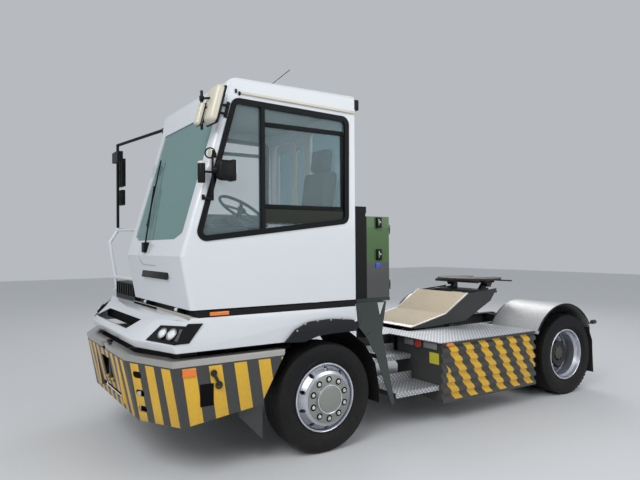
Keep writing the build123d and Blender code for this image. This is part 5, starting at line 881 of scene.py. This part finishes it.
# %% Fairing and headlamps
softened("front_fairing", "fairing_shell", cab_white, "chassis", 0.008, 2)
softened("arch_flares", "arch_flare_skins", flare_plastic, "chassis", 0.012, 3)
LAMP_PLACES = ((-0.160, 0.044), (-0.052, 0.049))
corner_low = Vector((1.240, FRONT_AXLE - 1.360, 1.060))
nose_low = Vector((0.770, FRONT_AXLE - 1.530, 1.060))
corner_high = Vector((1.240, FRONT_AXLE - 1.236, 1.220))
along = (corner_low - nose_low).normalized()
outward = along.cross(corner_high - corner_low).normalized()
upward = outward.cross(along)
for side_name, side in (("left", 1), ("right", -1)):
    flip = Matrix.Diagonal((side, 1, 1))
    bowls = begin(f"lamp_bowls_{side_name}")
    for reach, radius in LAMP_PLACES:
        spot = corner_low + along * reach + upward * 0.080
        start, end = flip @ (spot + outward * 0.018), flip @ (spot + outward * 0.023)
        rod(start, end, radius * 0.90, 36)
        ring(flip @ (spot + outward * 0.0225), flip @ outward, radius * 0.93, 0.004, 40, 8)
    finish_piece(bowls, zinc, "chassis")
    lenses = begin(f"lamp_lenses_{side_name}")
    for reach, radius in LAMP_PLACES:
        spot = corner_low + along * reach + upward * 0.080
        rod(flip @ (spot + outward * 0.022), flip @ (spot + outward * 0.032), radius * 0.80, 36, radius * 0.52)
    finish_piece(lenses, clear_lens, "chassis", bevel=0.003)
    piece = begin(f"indicator_{side_name}")
    spot = corner_low + along * 0.008 + upward * 0.085 + outward * 0.004
    turn = (flip @ outward).to_track_quat("Z", "Y").to_euler()
    turned_box(flip @ spot, (0.030, 0.100, 0.012), turn)
    finish_piece(piece, smoked_lens, "chassis", bevel=0.003)

# The black box behind the fairing's slot stands for the dark intake grid, and is painted shade as well.
piece = begin("fairing_slot_back")
box(-0.82, 0.54, FRONT_AXLE - 1.36, FRONT_AXLE - 1.33, 1.085, 1.200)
finish_piece(piece, painted_shade_black, "chassis")
piece = begin("fascia_band")
box(CAB_RIGHT, CAB_LEFT - 0.006, FRONT_AXLE - 1.2320, FRONT_AXLE - 1.2268, 1.238, 1.2735)
finish_piece(piece, fascia_beige, "chassis", bevel=0.002)
# The dark strip in the fascia band is painted shade for its recess.
piece = begin("fascia_recess")
box(-0.29, 0.44, FRONT_AXLE - 1.2332, FRONT_AXLE - 1.2318, 1.245, 1.268)
finish_piece(piece, painted_shade_black, "chassis")
piece = begin("flare_clips")
for side in (-1, 1):
    for y, z in ((-0.306, 1.084), (-0.226, 1.134), (-0.103, 1.152), (0.034, 1.151), (0.164, 1.149)):
        rod((side * 1.250, FRONT_AXLE + y, z), (side * 1.268, FRONT_AXLE + y, z), 0.009, 12)
finish_piece(piece, zinc, "chassis", bevel=0.002)
piece = begin("arch_plate_lips")
for side in (-1, 1):
    for y, z, length, lean in ((0.433, 1.034, 0.137, -47.7), (0.529, 0.899, 0.184, -59.7)):
        middle = (side * 1.2065, FRONT_AXLE + y, z)
        turned_box(middle, (0.004, length, 0.060), (radians(lean), 0, 0))
finish_piece(piece, panel_grey, "chassis")
piece = begin("arch_corner_fillers")
for side in (-1, 1):
    box(side * 1.150, side * 1.158, FRONT_AXLE + 0.390, FRONT_AXLE + 0.560, 0.948, 1.100)
finish_piece(piece, liner_black, "chassis")

# %% [markdown]
# ## Marker and tail lamps
# Small lenses: amber along the sides, red at the deck's front corners and the tail. They
# replace the frame's plain blocks, which hold several colours in one node.

# %% Lamps
DECK_FACE = FRONT_AXLE + 1.385
DECK_EDGE_Y = FRONT_AXLE + 1.345
piece = begin("markers_amber")
box(1.238, 1.247, FRONT_AXLE - 1.070, FRONT_AXLE - 0.910, 1.260, 1.290)
for side in (-1, 1):
    box(side * 1.224, side * 1.252, DECK_FACE + 0.055, DECK_FACE + 0.150, 0.774, 0.808)
finish_piece(piece, amber, "chassis", bevel=0.004, stands_for=("marker_lamps",))
piece = begin("markers_red")
for side in (-1, 1):
    rod((side * 0.912, DECK_FACE - 0.012, 0.768), (side * 0.912, DECK_FACE - 0.030, 0.768), 0.043, 32, 0.040)
    for x in (0.770, 0.850, 0.930):
        rod((side * x, 2.846, 0.700), (side * x, 2.853, 0.700), 0.034, 28, 0.030)
finish_piece(piece, red_lens, "chassis", bevel=0.003)
piece = begin("lamp_backs")
for side in (-1, 1):
    box(side * 0.858, side * 0.966, DECK_FACE - 0.013, DECK_FACE + 0.001, 0.722, 0.812)
finish_piece(piece, steel_grey, "chassis", bevel=0.003)
piece = begin("deck_end_plates")
for side in (-1, 1):
    box(side * 0.690, side * 0.830, DECK_FACE - 0.014, DECK_FACE + 0.001, 0.735, 0.802)
    box(side * 0.985, side * 1.170, DECK_FACE - 0.014, DECK_FACE + 0.001, 0.735, 0.802)
finish_piece(piece, panel_light, "chassis", bevel=0.003)
box_low, box_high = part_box("side_box_left")
piece = begin("deck_edge_strips")
for side in (-1, 1):
    box(side * (box_high[0] - 0.004), side * (box_high[0] + 0.0015), DECK_FACE, box_high[1], 0.788, 0.8115)
finish_piece(piece, steel_grey, "chassis", bevel=0.002)
piece = begin("box_labels")
box(1.060, 1.196, DECK_FACE - 0.0012, DECK_FACE + 0.0005, 0.588, 0.700)
finish_piece(piece, label_yellow, "chassis")

# %% [markdown]
# ## Windows
# The side windows have a slider behind the post: two thin rails, a lower dark panel and a
# handle. Inside, a white grab pole stands by the rear door.

# %% Windows and wiper
for side_name, face, out in (("left", CAB_LEFT, 1), ("right", CAB_RIGHT, -1)):
    near, far = face - out * 0.0165, face - out * 0.0100
    piece = begin(f"slider_rails_{side_name}")
    for low in (2.096, 2.768):
        box(near, far, FRONT_AXLE - 0.590, FRONT_AXLE + 0.200, low, low + 0.040)
    box(near, far, FRONT_AXLE + 0.170, FRONT_AXLE + 0.200, 2.130, 2.775)
    finish_piece(piece, rubber, "cab", bevel=0.002)
    piece = begin(f"slider_panel_{side_name}")
    box(near, far, FRONT_AXLE - 0.592, FRONT_AXLE + 0.200, 1.985, 2.100)
    finish_piece(piece, olive_panel, "cab")
    piece = begin(f"slider_latch_{side_name}")
    box(near, face - out * 0.004, FRONT_AXLE + 0.090, FRONT_AXLE + 0.190, 2.098, 2.114)
    finish_piece(piece, black_plastic, "cab", bevel=0.003)
piece = begin("grab_poles")
tube([(0.36, FRONT_AXLE + 0.200, 1.40), (0.36, FRONT_AXLE + 0.200, 2.90)], 0.022)
tube([(0.47, FRONT_AXLE + 0.210, 1.90), (0.47, FRONT_AXLE + 0.160, 1.93), (0.47, FRONT_AXLE + 0.160, 2.72),
      (0.47, FRONT_AXLE + 0.210, 2.75)], 0.014)
finish_piece(piece, cream_plastic, "cab")

# The gutters are cream, darker than the white roof: painted shade for the shadow line under them.
piece = begin("rain_gutters")
for x0, x1 in ((CAB_LEFT - 0.001, CAB_LEFT + 0.018), (CAB_RIGHT - 0.018, CAB_RIGHT + 0.001)):
    turned_box(((x0 + x1) / 2, FRONT_AXLE - 0.240, 2.9995), (x1 - x0, 1.120, 0.022), (radians(-1.4), 0, 0))
finish_piece(piece, cream_plastic, "cab", bevel=0.005, steps=3)
piece = begin("work_lamp_and_aerial")
box(CAB_LEFT - 0.112, CAB_LEFT - 0.008, CAB_REAR - 0.008, CAB_REAR + 0.056, 3.020, 3.112)
tube([(0.900, FRONT_AXLE - 0.440, 3.141), (0.900, FRONT_AXLE - 0.150, 3.391)], 0.0048, 8)
finish_piece(piece, black_plastic, "cab", bevel=0.003)
piece = begin("pillar_clips")
for y, z in ((-0.842, 3.022), (-0.812, 3.006)):
    box(CAB_LEFT - 0.001, CAB_LEFT + 0.012, FRONT_AXLE + y - 0.007, FRONT_AXLE + y + 0.007, z - 0.016, z + 0.016)
finish_piece(piece, black_plastic, "cab", bevel=0.002)

piece = begin("wiper_arm")
low_point = Vector((0.30, cab_front(1.80) - 0.022, 1.80))
high_point = Vector((0.06, cab_front(2.36) - 0.030, 2.36))
tube([low_point, high_point], 0.0075, 10)
blade_low = Vector((0.16, cab_front(1.98) - 0.016, 1.98))
blade_high = Vector((-0.02, cab_front(2.62) - 0.016, 2.62))
rod(blade_low, blade_high, 0.0075, 8)
rod(high_point, (blade_low + blade_high) / 2, 0.006, 8)
box(0.255, 0.330, cab_front(1.80) - 0.040, cab_front(1.72) + 0.030, 1.745, 1.835)
finish_piece(piece, rubber, "cab", bevel=0.003)
piece = begin("hatch_seam")
tube([(x, FRONT_AXLE + y, z) for x, y, z in (
    (0.100, -1.2705, 1.800), (0.112, -1.294, 1.722), (0.135, -1.287, 1.670), (0.185, -1.281, 1.641),
    (0.280, -1.2805, 1.636), (0.570, -1.2805, 1.636))], 0.0022, 8)
finish_piece(piece, panel_light, "cab")
piece = begin("name_plate_blank")
turned_box((0.505, FRONT_AXLE - 1.270, 1.566), (0.72, 0.008, 0.080), (radians(-10.4), 0, 0))
finish_piece(piece, black_plastic, "cab", bevel=0.003)

# %% [markdown]
# ## Mirrors
# The frame's mirrors are plain blocks. Each is made again as a rounded housing with a glass
# let into its rear face, on the same arms.


# %% Mirrors
def mirror_head(name, middle, size, lean, housing, body):
    """A rounded housing with a black rim and a glass on its rear face, leaning with the pillar."""
    turn = (-lean, 0, 0)
    rear = Vector((0, cos(lean), -sin(lean)))
    head = begin(f"{name}_housing")
    turned_box(middle, size, turn)
    finish_piece(head, housing, body, bevel=min(size) * 0.44, steps=5)
    rim = begin(f"{name}_rim")
    turned_box(Vector(middle) + rear * size[1] * 0.34, (size[0] * 1.03, size[1] * 0.26, size[2] * 1.02), turn)
    finish_piece(rim, black_plastic, body, bevel=min(size) * 0.12, steps=3)
    face = begin(f"{name}_glass")
    turned_box(Vector(middle) + rear * (size[1] * 0.47 + 0.001), (size[0] * 0.88, 0.004, size[2] * 0.91), turn)
    finish_piece(face, mirror_glass, body, bevel=0.0015)


PILLAR_LEAN = radians(15)
mirror_head("mirror_main", (1.268, FRONT_AXLE - 1.042, 2.880), (0.205, 0.080, 0.300), PILLAR_LEAN,
            cream_plastic, "cab")
mirror_head("mirror_narrow", (1.212, FRONT_AXLE - 1.131, 2.810), (0.078, 0.044, 0.180), PILLAR_LEAN,
            cream_plastic, "cab")
mirror_head("mirror_lower", (1.327, FRONT_AXLE - 0.968, 2.376), (0.096, 0.150, 0.160), 0.0, black_plastic, "cab")
piece = begin("mirror_arms_left")
pad = CAB_LEFT + 0.008
turned_box((CAB_LEFT + 0.004, FRONT_AXLE - 0.920, 2.8625), (0.0085, 0.028, 0.130), (radians(-14.4), 0, 0))
for y, z in ((-0.928, 2.830), (-0.912, 2.895)):
    rod((pad + 0.004, FRONT_AXLE + y, z), (1.256, FRONT_AXLE - 1.030, z), 0.010)
POST = (1.225, FRONT_AXLE - 1.120)
tube([(*POST, 2.690), (*POST, 2.990)], 0.011)
for z in (2.760, 2.860, 2.930):
    rod((POST[0], POST[1], z), (1.280, FRONT_AXLE - 1.050, z), 0.009)
    rod((POST[0], POST[1], z - 0.018), (POST[0], POST[1], z + 0.018), 0.018)
box(POST[0] - 0.030, POST[0] + 0.004, POST[1] - 0.012, POST[1] + 0.012, 2.785, 2.835)
tube([(pad, FRONT_AXLE - 1.118, 2.170), (1.290, FRONT_AXLE - 1.060, 2.150), (1.290, FRONT_AXLE - 1.060, 2.520),
      (pad, FRONT_AXLE - 1.022, 2.500)], 0.0085)
for y, z in ((-1.118, 2.170), (-1.022, 2.500)):
    box(CAB_LEFT - 0.0005, pad, FRONT_AXLE + y - 0.012, FRONT_AXLE + y + 0.012, z - 0.020, z + 0.020)
rod((1.290, FRONT_AXLE - 1.150, 2.275), (1.290, FRONT_AXLE - 1.150, 2.420), 0.029, 24)
rod((1.290, FRONT_AXLE - 1.150, 2.360), (1.290, FRONT_AXLE - 1.060, 2.360), 0.008)
rod((1.290, FRONT_AXLE - 1.064, 2.376), (1.318, FRONT_AXLE - 1.030, 2.376), 0.024, 20)
ring((1.290, FRONT_AXLE - 1.080, 2.505), (0.84, -0.54, 0), 0.038, 0.006, 28)
finish_piece(piece, black_plastic, "cab", bevel=0.002, stands_for=("mirrors_left",))
piece = begin("mirror_glass_right")
for low_x, high_x, low_z, high_z in ((-1.360, -1.200, 2.490, 2.780), (-1.340, -1.220, 2.280, 2.430)):
    box(low_x, high_x, FRONT_AXLE - 1.081, FRONT_AXLE - 1.0785, low_z, high_z)
finish_piece(piece, mirror_glass, "cab")
piece = begin("mirror_caps_left")
rod((1.290, FRONT_AXLE - 1.150, 2.420), (1.290, FRONT_AXLE - 1.150, 2.438), 0.030, 24, 0.024)
rod((1.290, FRONT_AXLE - 1.083, 2.505), (1.290, FRONT_AXLE - 1.077, 2.505), 0.034, 28)
finish_piece(piece, cream_plastic, "cab", bevel=0.003)

# %% [markdown]
# ## Locker door
# The door is polished steel, and its green upper part is a painted reflection. It is one sheet, so
# the painted green and the polished steel are one material mixed by height, and the latches
# are black with a bright key plate.


# %% Locker and deck fittings
def door_with_painted_reflection():
    mat = plain("locker_painted_reflection", (0.09, 0.20, 0.05), 0.25, coat=0.4)
    tree = mat.node_tree
    shader = tree.nodes["Principled BSDF"]
    _, axes = object_axes(tree)
    lower = arithmetic(tree, "LESS_THAN", axes[2], 1.640)
    mix = tree.nodes.new("ShaderNodeMix")
    mix.data_type = "RGBA"
    # Green above the mix height is a painted reflection; below it is polished steel.
    mix.inputs[6].default_value = (0.055, 0.130, 0.032, 1)
    mix.inputs[7].default_value = (0.15, 0.15, 0.145, 1)
    tree.links.new(lower, mix.inputs[0])
    tree.links.new(mix.outputs[2], shader.inputs["Base Color"])
    tree.links.new(lower, shader.inputs["Metallic"])
    return mat


nodes["locker_door"].data.materials.clear()
nodes["locker_door"].data.materials.append(door_with_painted_reflection())
piece = begin("locker_latches")
for low, high in ((1.955, 2.058), (1.652, 1.758)):
    box(1.150, 1.176, FRONT_AXLE + 0.628, FRONT_AXLE + 0.680, low, high)
finish_piece(piece, black_plastic, "locker_lid", bevel=0.004)
piece = begin("locker_label")
box(1.150, 1.158, FRONT_AXLE + 0.624, FRONT_AXLE + 0.676, 1.585, 1.628)
finish_piece(piece, label_blue, "locker_lid", bevel=0.002)
piece = begin("locker_keys")
for z in (2.012, 1.710):
    rod((1.174, FRONT_AXLE + 0.660, z), (1.181, FRONT_AXLE + 0.660, z), 0.010, 16)
    box(1.175, 1.179, FRONT_AXLE + 0.640, FRONT_AXLE + 0.650, z - 0.03, z + 0.03)
finish_piece(piece, zinc, "locker_lid", bevel=0.001)

# %% [markdown]
# ## Seat
# A driver's seat is foam under cloth. Each cushion is a box that is voxel remeshed and blown
# up a little by a cloth simulation with pressure; the vertices along the seams are pinned, so
# they stay as grooves.


# %% Seat
def cushion(name, middle, size, lean, seams):
    """A foam cushion: seams lists the places across it that stay sewn down."""
    bpy.ops.object.select_all(action="DESELECT")
    bpy.ops.mesh.primitive_cube_add(size=1, location=(0, 0, 0), scale=size)
    pad = bpy.context.object
    pad.name = name
    bpy.ops.object.transform_apply(location=False, rotation=False, scale=True)
    edge = pad.modifiers.new("edge", "BEVEL")
    edge.width = min(size) * 0.32
    edge.segments = 4
    bpy.ops.object.modifier_apply(modifier="edge")
    grid = pad.modifiers.new("grid", "REMESH")
    grid.mode = "VOXEL"
    grid.voxel_size = 0.012
    bpy.ops.object.modifier_apply(modifier="grid")
    sewn = pad.vertex_groups.new(name="sewn")
    kept = [v.index for v in pad.data.vertices if any(abs(v.co.x - s) < 0.007 for s in seams)]
    sewn.add(kept, 1.0, "REPLACE")
    before = [v.co.copy() for v in pad.data.vertices]
    cloth = pad.modifiers.new("cloth", "CLOTH")
    cloth.settings.quality = 4
    cloth.settings.use_pressure = True
    cloth.settings.uniform_pressure_force = 4
    cloth.settings.effector_weights.gravity = 0
    cloth.settings.vertex_group_mass = "sewn"
    cloth.collision_settings.use_collision = False
    for step in range(1, 21):
        bpy.context.scene.frame_set(step)
    bpy.ops.object.modifier_apply(modifier="cloth")
    for vertex, old in zip(pad.data.vertices, before):
        move = vertex.co - old
        if move.length > 0.018:
            vertex.co = old + move.normalized() * 0.018
    bpy.context.scene.frame_set(1)
    pad.rotation_euler = (lean, 0, 0)
    pad.location = middle
    bpy.ops.object.transform_apply(location=True, rotation=True, scale=True)
    bpy.ops.object.shade_smooth()
    pad.data.materials.append(seat_cloth)
    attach(pad, "cab")
    return pad


SEAT_X = 0.860
SEAT_Y = FRONT_AXLE - 0.080
cushion("seat_squab", (SEAT_X, SEAT_Y - 0.010, 1.790), (0.490, 0.500, 0.120), radians(4), (-0.13, 0.13))
cushion("seat_back", (SEAT_X, SEAT_Y + 0.235, 2.150), (0.450, 0.110, 0.660), radians(-8), (-0.12, 0.12))
cushion("seat_headrest", (SEAT_X, SEAT_Y + 0.290, 2.590), (0.260, 0.100, 0.210), radians(-6), ())
piece = begin("seat_base")
box(SEAT_X - 0.190, SEAT_X + 0.190, SEAT_Y - 0.200, SEAT_Y + 0.180, 1.361, 1.410)
for i in range(5):
    z = 1.42 + i * 0.058
    box(SEAT_X - 0.120 + 0.012 * (i % 2), SEAT_X + 0.120 - 0.012 * (i % 2), SEAT_Y - 0.140, SEAT_Y + 0.130, z, z + 0.056)
for side in (-1, 1):
    rod((SEAT_X + side * 0.060, SEAT_Y + 0.275, 2.44), (SEAT_X + side * 0.060, SEAT_Y + 0.285, 2.55), 0.007)
    box(SEAT_X + side * 0.255, SEAT_X + side * 0.305, SEAT_Y - 0.160, SEAT_Y + 0.170, 2.000, 2.050)
    rod((SEAT_X + side * 0.245, SEAT_Y + 0.190, 2.020), (SEAT_X + side * 0.300, SEAT_Y + 0.165, 2.025), 0.022)
finish_piece(piece, black_plastic, "cab", bevel=0.008, stands_for=("seat",))

# %% [markdown]
# ## Cab inside
# What shows through the glass: instruments with blank faces, a lighter dash top, a console
# with levers, and a trimmed ceiling.

# %% Cab inside
piece = begin("dash_top")
box(CAB_RIGHT + 0.060, CAB_LEFT - 0.060, FRONT_AXLE - 1.150, FRONT_AXLE - 0.905, 1.840, 1.852)
finish_piece(piece, trim_cream, "cab", bevel=0.005)
piece = begin("dash_display")
turned_box((SEAT_X, FRONT_AXLE - 0.760, 1.985), (0.300, 0.150, 0.060), (radians(-28), 0, 0))
box(SEAT_X - 0.330, SEAT_X - 0.210, FRONT_AXLE - 0.860, FRONT_AXLE - 0.830, 1.870, 1.990)
finish_piece(piece, black_plastic, "cab", bevel=0.010, steps=3)
piece = begin("side_console")
box(0.420, 0.560, SEAT_Y - 0.260, SEAT_Y + 0.150, 1.640, 1.900)
rod((0.490, SEAT_Y - 0.180, 1.90), (0.490, SEAT_Y - 0.200, 2.000), 0.008)
ball((0.490, SEAT_Y - 0.202, 2.010), 0.020)
box(0.440, 0.540, SEAT_Y - 0.240, SEAT_Y + 0.120, 1.361, 1.650)
finish_piece(piece, dash_plastic, "cab", bevel=0.012, steps=3)
piece = begin("ceiling_trim")
box(CAB_RIGHT + 0.050, CAB_LEFT - 0.050, FRONT_AXLE - 0.850, FRONT_AXLE + 0.270, 3.010, 3.030)
finish_piece(piece, inner_trim, "cab", bevel=0.004)

# %% [markdown]
# ## Boom, deck and tail fittings
# Bolts and pins where the real plates are held, a bead along the mudguards' edges, and the
# blank number plate at the tail.

# %% Fittings
RAMP_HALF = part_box("boom_ramp")[1][0]
RAMP_LINE = ((1.683, 0.853), (2.235, 0.972), (2.620, 1.200))
piece = begin("ramp_bolts")
for x in (-0.30, 0.0, 0.30):
    for y, z in ((1.80, 0.8790), (2.10, 0.9435), (2.34, 1.036), (2.54, 1.155)):
        slope = radians(12.2) if y < 2.235 else radians(30.6)
        spot = Vector((x, FRONT_AXLE + y, z))
        up = Vector((0, -sin(slope), cos(slope)))
        rod(spot, spot + up * 0.004, 0.007, 12)
finish_piece(piece, zinc, "boom", bevel=0.001)
piece = begin("ramp_edges")
for (y0, z0), (y1, z1) in zip(RAMP_LINE, RAMP_LINE[1:]):
    slope = atan2(z1 - z0, y1 - y0)
    length = (y1 - y0) / cos(slope)
    for side in (-1, 1):
        middle = (side * (RAMP_HALF - 0.011), FRONT_AXLE + (y0 + y1) / 2, (z0 + z1) / 2)
        turned_box(middle, (0.022, length + 0.003, 0.005), (slope, 0, 0))
foot_y, foot_z = RAMP_LINE[0][0] + 0.030, RAMP_LINE[0][1] + 0.0065
turned_box((0, FRONT_AXLE + foot_y, foot_z), (2 * RAMP_HALF, 0.060, 0.004), (radians(12.2), 0, 0))
finish_piece(piece, guard_metal, "boom")
piece = begin("rail_bolts")
for side in (-1, 1):
    for i in range(12):
        y = -2.2 + i * 0.36
        for z in (0.610, 0.750):
            rod((side * 0.424, y, z), (side * 0.434, y, z), 0.014, 6)
finish_piece(piece, axle_black, "chassis")
piece = begin("guard_beads")
for side in (-1, 1):
    for x in (0.562, 1.244):
        arc = []
        for i in range(15):
            t = i / 14
            a = radians(148 - 116 * t)
            arc.append((side * x, REAR_AXLE - 0.0735 + 0.0 + 0.583 * cos(a) * 1.0, 0.4985 + 0.583 * sin(a)))
        tube(arc, 0.009 if x > 1 else 0.006, 8)
finish_piece(piece, flap_rubber, "chassis")
piece = begin("number_plate_blank")
box(-0.26, 0.26, 2.832, 2.838, 0.650, 0.760)
finish_piece(piece, cab_white, "chassis", bevel=0.002)

# %% [markdown]
# ## Stage, light and camera
# A pale floor and plain soft light from above and from the camera's side. The camera stands
# where the photographer stood, found from the wheels and the body's edges.

# %% Stage, light and camera
bpy.ops.object.select_all(action="DESELECT")
bpy.ops.mesh.primitive_plane_add(size=60, location=(0, 0, 0))
floor = bpy.context.object
floor.name = "floor"
floor_paint = plain("floor_paint", (0.70, 0.71, 0.72), 0.7)
floor.data.materials.append(floor_paint)
floor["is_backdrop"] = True

world = bpy.data.worlds.new("studio")
bpy.context.scene.world = world
world.use_nodes = True
sky = world.node_tree.nodes["Background"]
sky.inputs[0].default_value = (0.86, 0.90, 0.95, 1)
sky.inputs[1].default_value = 0.55
LAMPS = (
    # name, energy, size, place
    ("key", 440, 5.0, (5.5, -7.5, 7.5)),
    ("fill", 190, 6.0, (8.0, 3.0, 5.0)),
    ("back", 180, 5.0, (-6.5, 6.0, 6.5)),
)
for name, energy, size, place in LAMPS:
    bpy.ops.object.light_add(type="AREA", location=place)
    lamp = bpy.context.object
    lamp.name = name
    lamp.data.energy = energy
    lamp.data.size = size
    lamp.rotation_euler = (Vector((0, 0, 1.2)) - Vector(place)).to_track_quat("-Z", "Y").to_euler()

YAW, PITCH, ROLL = 0.99634, 0.01088, -0.0071
forward = Vector((-sin(YAW) * cos(PITCH), cos(YAW) * cos(PITCH), sin(PITCH)))
right = forward.cross(Vector((0, 0, 1))).normalized()
up = right.cross(forward)
tilted_right = right * cos(ROLL) + up * sin(ROLL)
tilted_up = up * cos(ROLL) - right * sin(ROLL)
bpy.ops.object.camera_add(location=(0, 0, 0))
camera = bpy.context.object
camera.name = "photo_camera"
camera.data.lens = 32.213
camera.data.sensor_width = 36
camera.data.clip_end = 200
turn = Matrix((tilted_right, tilted_up, -forward)).transposed().to_4x4()
camera.matrix_world = Matrix.Translation((5.39123, -4.00453, 1.78935)) @ turn
bpy.context.scene.camera = camera
bpy.context.scene.view_settings.view_transform = "Standard"

# %% Sizes
low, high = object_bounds()
